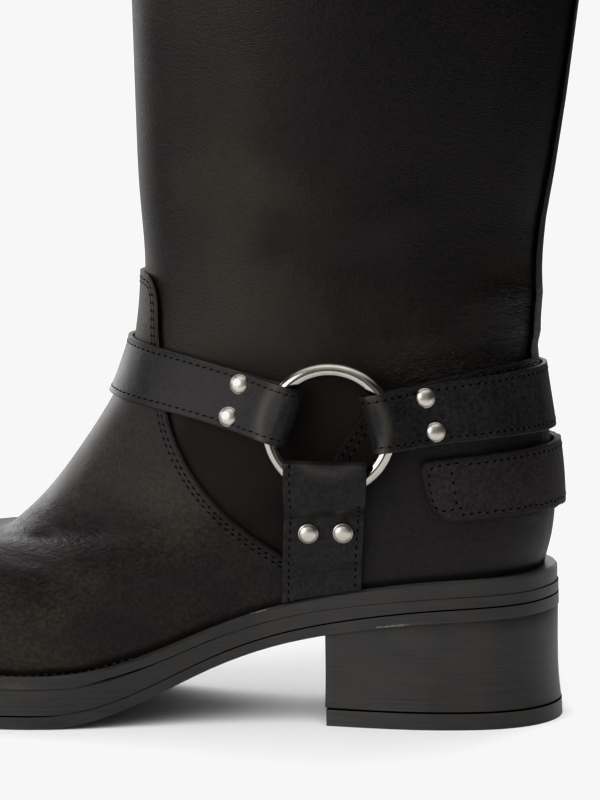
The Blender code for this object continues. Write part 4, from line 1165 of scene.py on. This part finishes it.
def polished_nickel(name, hues, roughness):
    """Nickel plate, buffed: a warm white mirror, with a faint haze and waviness from the wheel."""
    made, tree, place = new_material(name)
    haze = put(
        tree, "TexNoise.Fac", {"Vector": place, "Scale": 1000 / HAZE_MM, "Detail": 4.0, "Roughness": 0.6}
    )
    gloss = put(
        tree, "MapRange.Result",
        {"Value": haze, "From Min": 0.3, "From Max": 0.7, "To Min": roughness[0], "To Max": roughness[1]},
    )
    bump = put(tree, "Bump.Normal", {"Height": haze, "Strength": 0.08, "Distance": 0.2 * MM})
    colour = put(tree, "ValToRGB.Color", {"Fac": haze}, zip((0.3, 0.7), hues))
    return shaded(made, {"Base Color": colour, "Roughness": gloss, "Normal": bump, "Metallic": 1.0})


NICKEL = polished_nickel("nickel plate, polished", ("#b9b3aa", "#c8c2ba"), (0.07, 0.13))
for side in ("lateral", "medial"):
    middle, facing, _ = own_axes("ring_" + side)
    bpy.ops.object.select_all(action="DESELECT")
    bpy.ops.mesh.primitive_torus_add(
        major_segments=128, minor_segments=24, major_radius=RING_RADIUS * MM, minor_radius=WIRE_RADIUS * MM,
        location=middle, rotation=facing.to_track_quat("Z", "Y").to_euler(),
    )
    ring = bpy.context.object
    ring.name = ring.data.name = "harness_ring_" + side
    bpy.ops.object.transform_apply(location=True, rotation=True, scale=True)
    in_plane = Vector((1, 0, 0)) - facing * facing.x
    weld = middle - Vector((1, 0, 0)).project(in_plane).normalized() * RING_RADIUS * MM
    for vert in ring.data.vertices:
        vert.select = (vert.co - weld).length < (WIRE_RADIUS + WELD_LONG) * MM
    with editing():
        bpy.ops.mesh.select_mode(type="VERT")
        bpy.ops.transform.shrink_fatten(value=WELD_HIGH * MM)
    dress(ring, "polished_nickel", (NICKEL,), "ring_" + side)


# Rivets: domed caps of the same nickel, brushed, pressed from sheet with a small rolled foot.
# There are two at each strap end, set through both layers of the strap.
CAP_PROFILE = (  # radius and height of the cap from its foot to its crown, in millimetres
    (3.3, 0.0), (3.3, 0.35), (3.22, 0.52), (3.08, 0.58), (2.98, 0.70), (2.86, 0.92), (2.60, 1.24),
    (2.2, 1.54), (1.7, 1.76), (1.15, 1.90), (0.6, 1.97), (0.2, 2.0),
)
CAP_FOOT = 0.05 * MM  # height over which the points of a CAD cap count as its foot
bpy.ops.object.select_all(action="DESELECT")
bpy.ops.mesh.primitive_circle_add(vertices=32, radius=CAP_PROFILE[0][0] * MM, fill_type="NGON")
cap = bpy.context.object
with editing("SELECT"):
    bpy.ops.mesh.duplicate()
    for (wide, low), (narrow, high) in zip(CAP_PROFILE, CAP_PROFILE[1:]):
        bpy.ops.mesh.extrude_region_move(TRANSFORM_OT_translate={"value": (0, 0, (high - low) * MM)})
        bpy.ops.transform.resize(value=(narrow / wide, narrow / wide, 1))
    bpy.ops.mesh.select_all(action="SELECT")
    bpy.ops.mesh.remove_doubles(threshold=0.001 * MM)
    bpy.ops.mesh.normals_make_consistent(inside=False)
CAP_NICKEL = polished_nickel("nickel plate, brushed", ("#cdc6bb", "#dcd6cc"), (0.30, 0.42))
for node in sorted(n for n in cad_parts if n.startswith("rivet_")):
    _, facing, points = own_axes(node)
    heights = points @ np.array(facing)
    foot = Vector(points[heights < heights.min() + CAP_FOOT].mean(axis=0))
    rivet = placed(node.replace("rivet_", "rivet_cap_"), cap.data.copy())
    rivet.data.transform(Matrix.Translation(foot) @ facing.to_track_quat("Z", "Y").to_matrix().to_4x4())
    dress(rivet, "polished_nickel", (CAP_NICKEL,), node)
bpy.data.objects.remove(cap)


# Floor: a pale matt sweep of paper that the boot stands on, without an edge in view.
# It ends in a dark room, which shows only in what the boot and the rings reflect.
Pool = namedtuple("Pool", "middle near far")
PAPER_POOLS = (Pool((0.0, 0.0, 0.0), 0.30, 0.85), Pool((-0.75, 1.15, 0.0), 0.50, 1.05))  # metres
PAPER_BOUNCE, TOOTH_MM, DARK_ROOM = 0.70, 2.0, "#101010"


def sweep_paper():
    """White paper: matt, with a hint of tooth. In the gloss of the boot it is white near by and dark farther
    off, as a sweep with a dark room beyond it."""
    made, tree, place = new_material("white paper sweep")
    tooth = put(tree, "TexNoise.Fac", {"Vector": place, "Scale": 1000 / TOOTH_MM, "Detail": 2.0})
    colour = put(tree, "ValToRGB.Color", {"Fac": tooth}, ((0.3, "#f4f4f4"), (0.7, "#f6f6f6")))
    dark = put(tree, "LightPath.Is Glossy Ray", {})
    for pool in PAPER_POOLS:
        away = put(tree, "VectorMath.Value", {0: place, 1: pool.middle}, operation="DISTANCE")
        beyond = put(
            tree, "MapRange.Result", {"Value": away, "From Min": pool.near, "From Max": pool.far},
            interpolation_type="SMOOTHSTEP",
        )
        dark = put(tree, "Math.Value", {0: beyond, 1: dark}, operation="MULTIPLY")
    colour = put(tree, MIX, {"Factor": dark, MIX_A: colour, MIX_B: linear(DARK_ROOM)}, data_type="RGBA")
    seen = put(tree, "LightPath.Is Camera Ray", {})
    bounce = put(tree, "MapRange.Result", {"Value": seen, "To Min": PAPER_BOUNCE})
    colour = put(tree, "VectorMath.Vector", {0: colour, "Scale": bounce}, operation="SCALE")
    return shaded(made, {"Base Color": colour, "Roughness": 0.9, "Specular IOR Level": 0.0})


bpy.ops.object.select_all(action="DESELECT")
bpy.ops.mesh.primitive_plane_add(size=40)
floor = bpy.context.object
floor.name = "floor"
floor.data.materials.append(sweep_paper())


# Light: a studio with soft boxes overhead, one at the toe end in front and one there behind, a white wall at
# the back and a faint glow from the camera's side, where the room itself is dark.
# A lamp on the paper alone lights it past white, and white is held at a pale grey.
SoftBox = namedtuple("SoftBox", "toward edge core glow in_gloss", defaults=(1.0,))
SOFT_BOXES = (  # direction, angles of its edge and of full strength, radiance, share seen in reflections
    SoftBox((0.0, 0.0, 1.0), 50, 20, 0.95),
    SoftBox((0.0, -0.70, 1.0), 35, 12, 0.50),
    SoftBox((0.0, 0.70, 1.0), 35, 12, 2.2),
    SoftBox((-0.75, -0.65, 0.20), 35, 10, 4.5),
    SoftBox((-0.72, 0.69, 0.12), 34, 10, 5.2),
    SoftBox((0.0, 1.0, 0.20), 40, 12, 1.5),
    SoftBox((0.0, -1.0, 0.15), 40, 10, 0.75, 0.25),
)
DARK_SIDE, PAPER_WHITE = 0.03, 0.93
world = bpy.data.worlds.new("studio")
bpy.context.scene.world = world
world.use_nodes = True
sky = world.node_tree
toward = put(sky, "TexCoord.Generated", {})
total = 0.0
for box in SOFT_BOXES:
    edge, core = (math.cos(math.radians(angle)) for angle in (box.edge, box.core))
    direction = Vector(box.toward).normalized()
    near = put(sky, "VectorMath.Value", {0: toward, 1: direction}, operation="DOT_PRODUCT")
    dim = DARK_SIDE / len(SOFT_BOXES)
    lit = put(
        sky, "MapRange.Result",
        {"Value": near, "From Min": edge, "From Max": core, "To Min": dim, "To Max": box.glow},
        interpolation_type="SMOOTHSTEP",
    )
    if box.in_gloss < 1:
        mirrored = put(sky, "LightPath.Is Glossy Ray", {})
        share = put(sky, "MapRange.Result", {"Value": mirrored, "To Min": 1.0, "To Max": box.in_gloss})
        lit = put(sky, "Math.Value", {0: lit, 1: share}, operation="MULTIPLY")
    total = put(sky, "Math.Value", {0: total, 1: lit}, operation="ADD")
seen = put(sky, "LightPath.Is Camera Ray", {})
total = put(sky, "MapRange.Result", {"Value": seen, "To Min": total, "To Max": 1.0})
plug(sky, sky.nodes["Background"], {"Color": (1.0, 1.0, 1.0, 1.0), "Strength": total})
LAMP_AT, LAMP_AIM, LAMP_SIZE, LAMP_WATTS = (0.0, -0.9, 1.1), Vector((0, -0.1, 0)), 1.2, 12.0
paper_lamp = placed("paper_lamp", bpy.data.lights.new("paper_lamp", "AREA"))
paper_lamp.data.size, paper_lamp.data.energy = LAMP_SIZE, LAMP_WATTS
paper_lamp.location = LAMP_AT
paper_lamp.rotation_euler = (LAMP_AIM - paper_lamp.location).to_track_quat("-Z", "Y").to_euler()
lit_by_lamp = bpy.data.collections.new("lit_by_paper_lamp")
lit_by_lamp.objects.link(floor)
paper_lamp.light_linking.receiver_collection = lit_by_lamp
picture = bpy.context.scene.view_settings
picture.view_transform = "Standard"
picture.use_curve_mapping = True
picture.curve_mapping.extend = "HORIZONTAL"
picture.curve_mapping.curves[3].points[1].location = (1.0, PAPER_WHITE)
picture.curve_mapping.update()


# Camera: a long lens a little above the ankle, as in the photograph.
# It is turned 7 degrees towards the heel and looks slightly down.
CAMERA_TURN, CAMERA_AWAY, CAMERA_HEIGHT = math.radians(7), 1.6, 0.320
AIM_AT = Vector((0.0416, 0.0007, 0.104))
lens = bpy.data.cameras.new("camera")
lens.lens, lens.sensor_width = 218, 36
camera = placed("camera", lens)
back, aside = CAMERA_AWAY * math.cos(CAMERA_TURN), CAMERA_AWAY * math.sin(CAMERA_TURN)
camera.location = (AIM_AT.x + aside, AIM_AT.y - back, CAMERA_HEIGHT)
camera.rotation_euler = (AIM_AT - camera.location).to_track_quat("-Z", "Y").to_euler()
bpy.context.scene.camera = camera
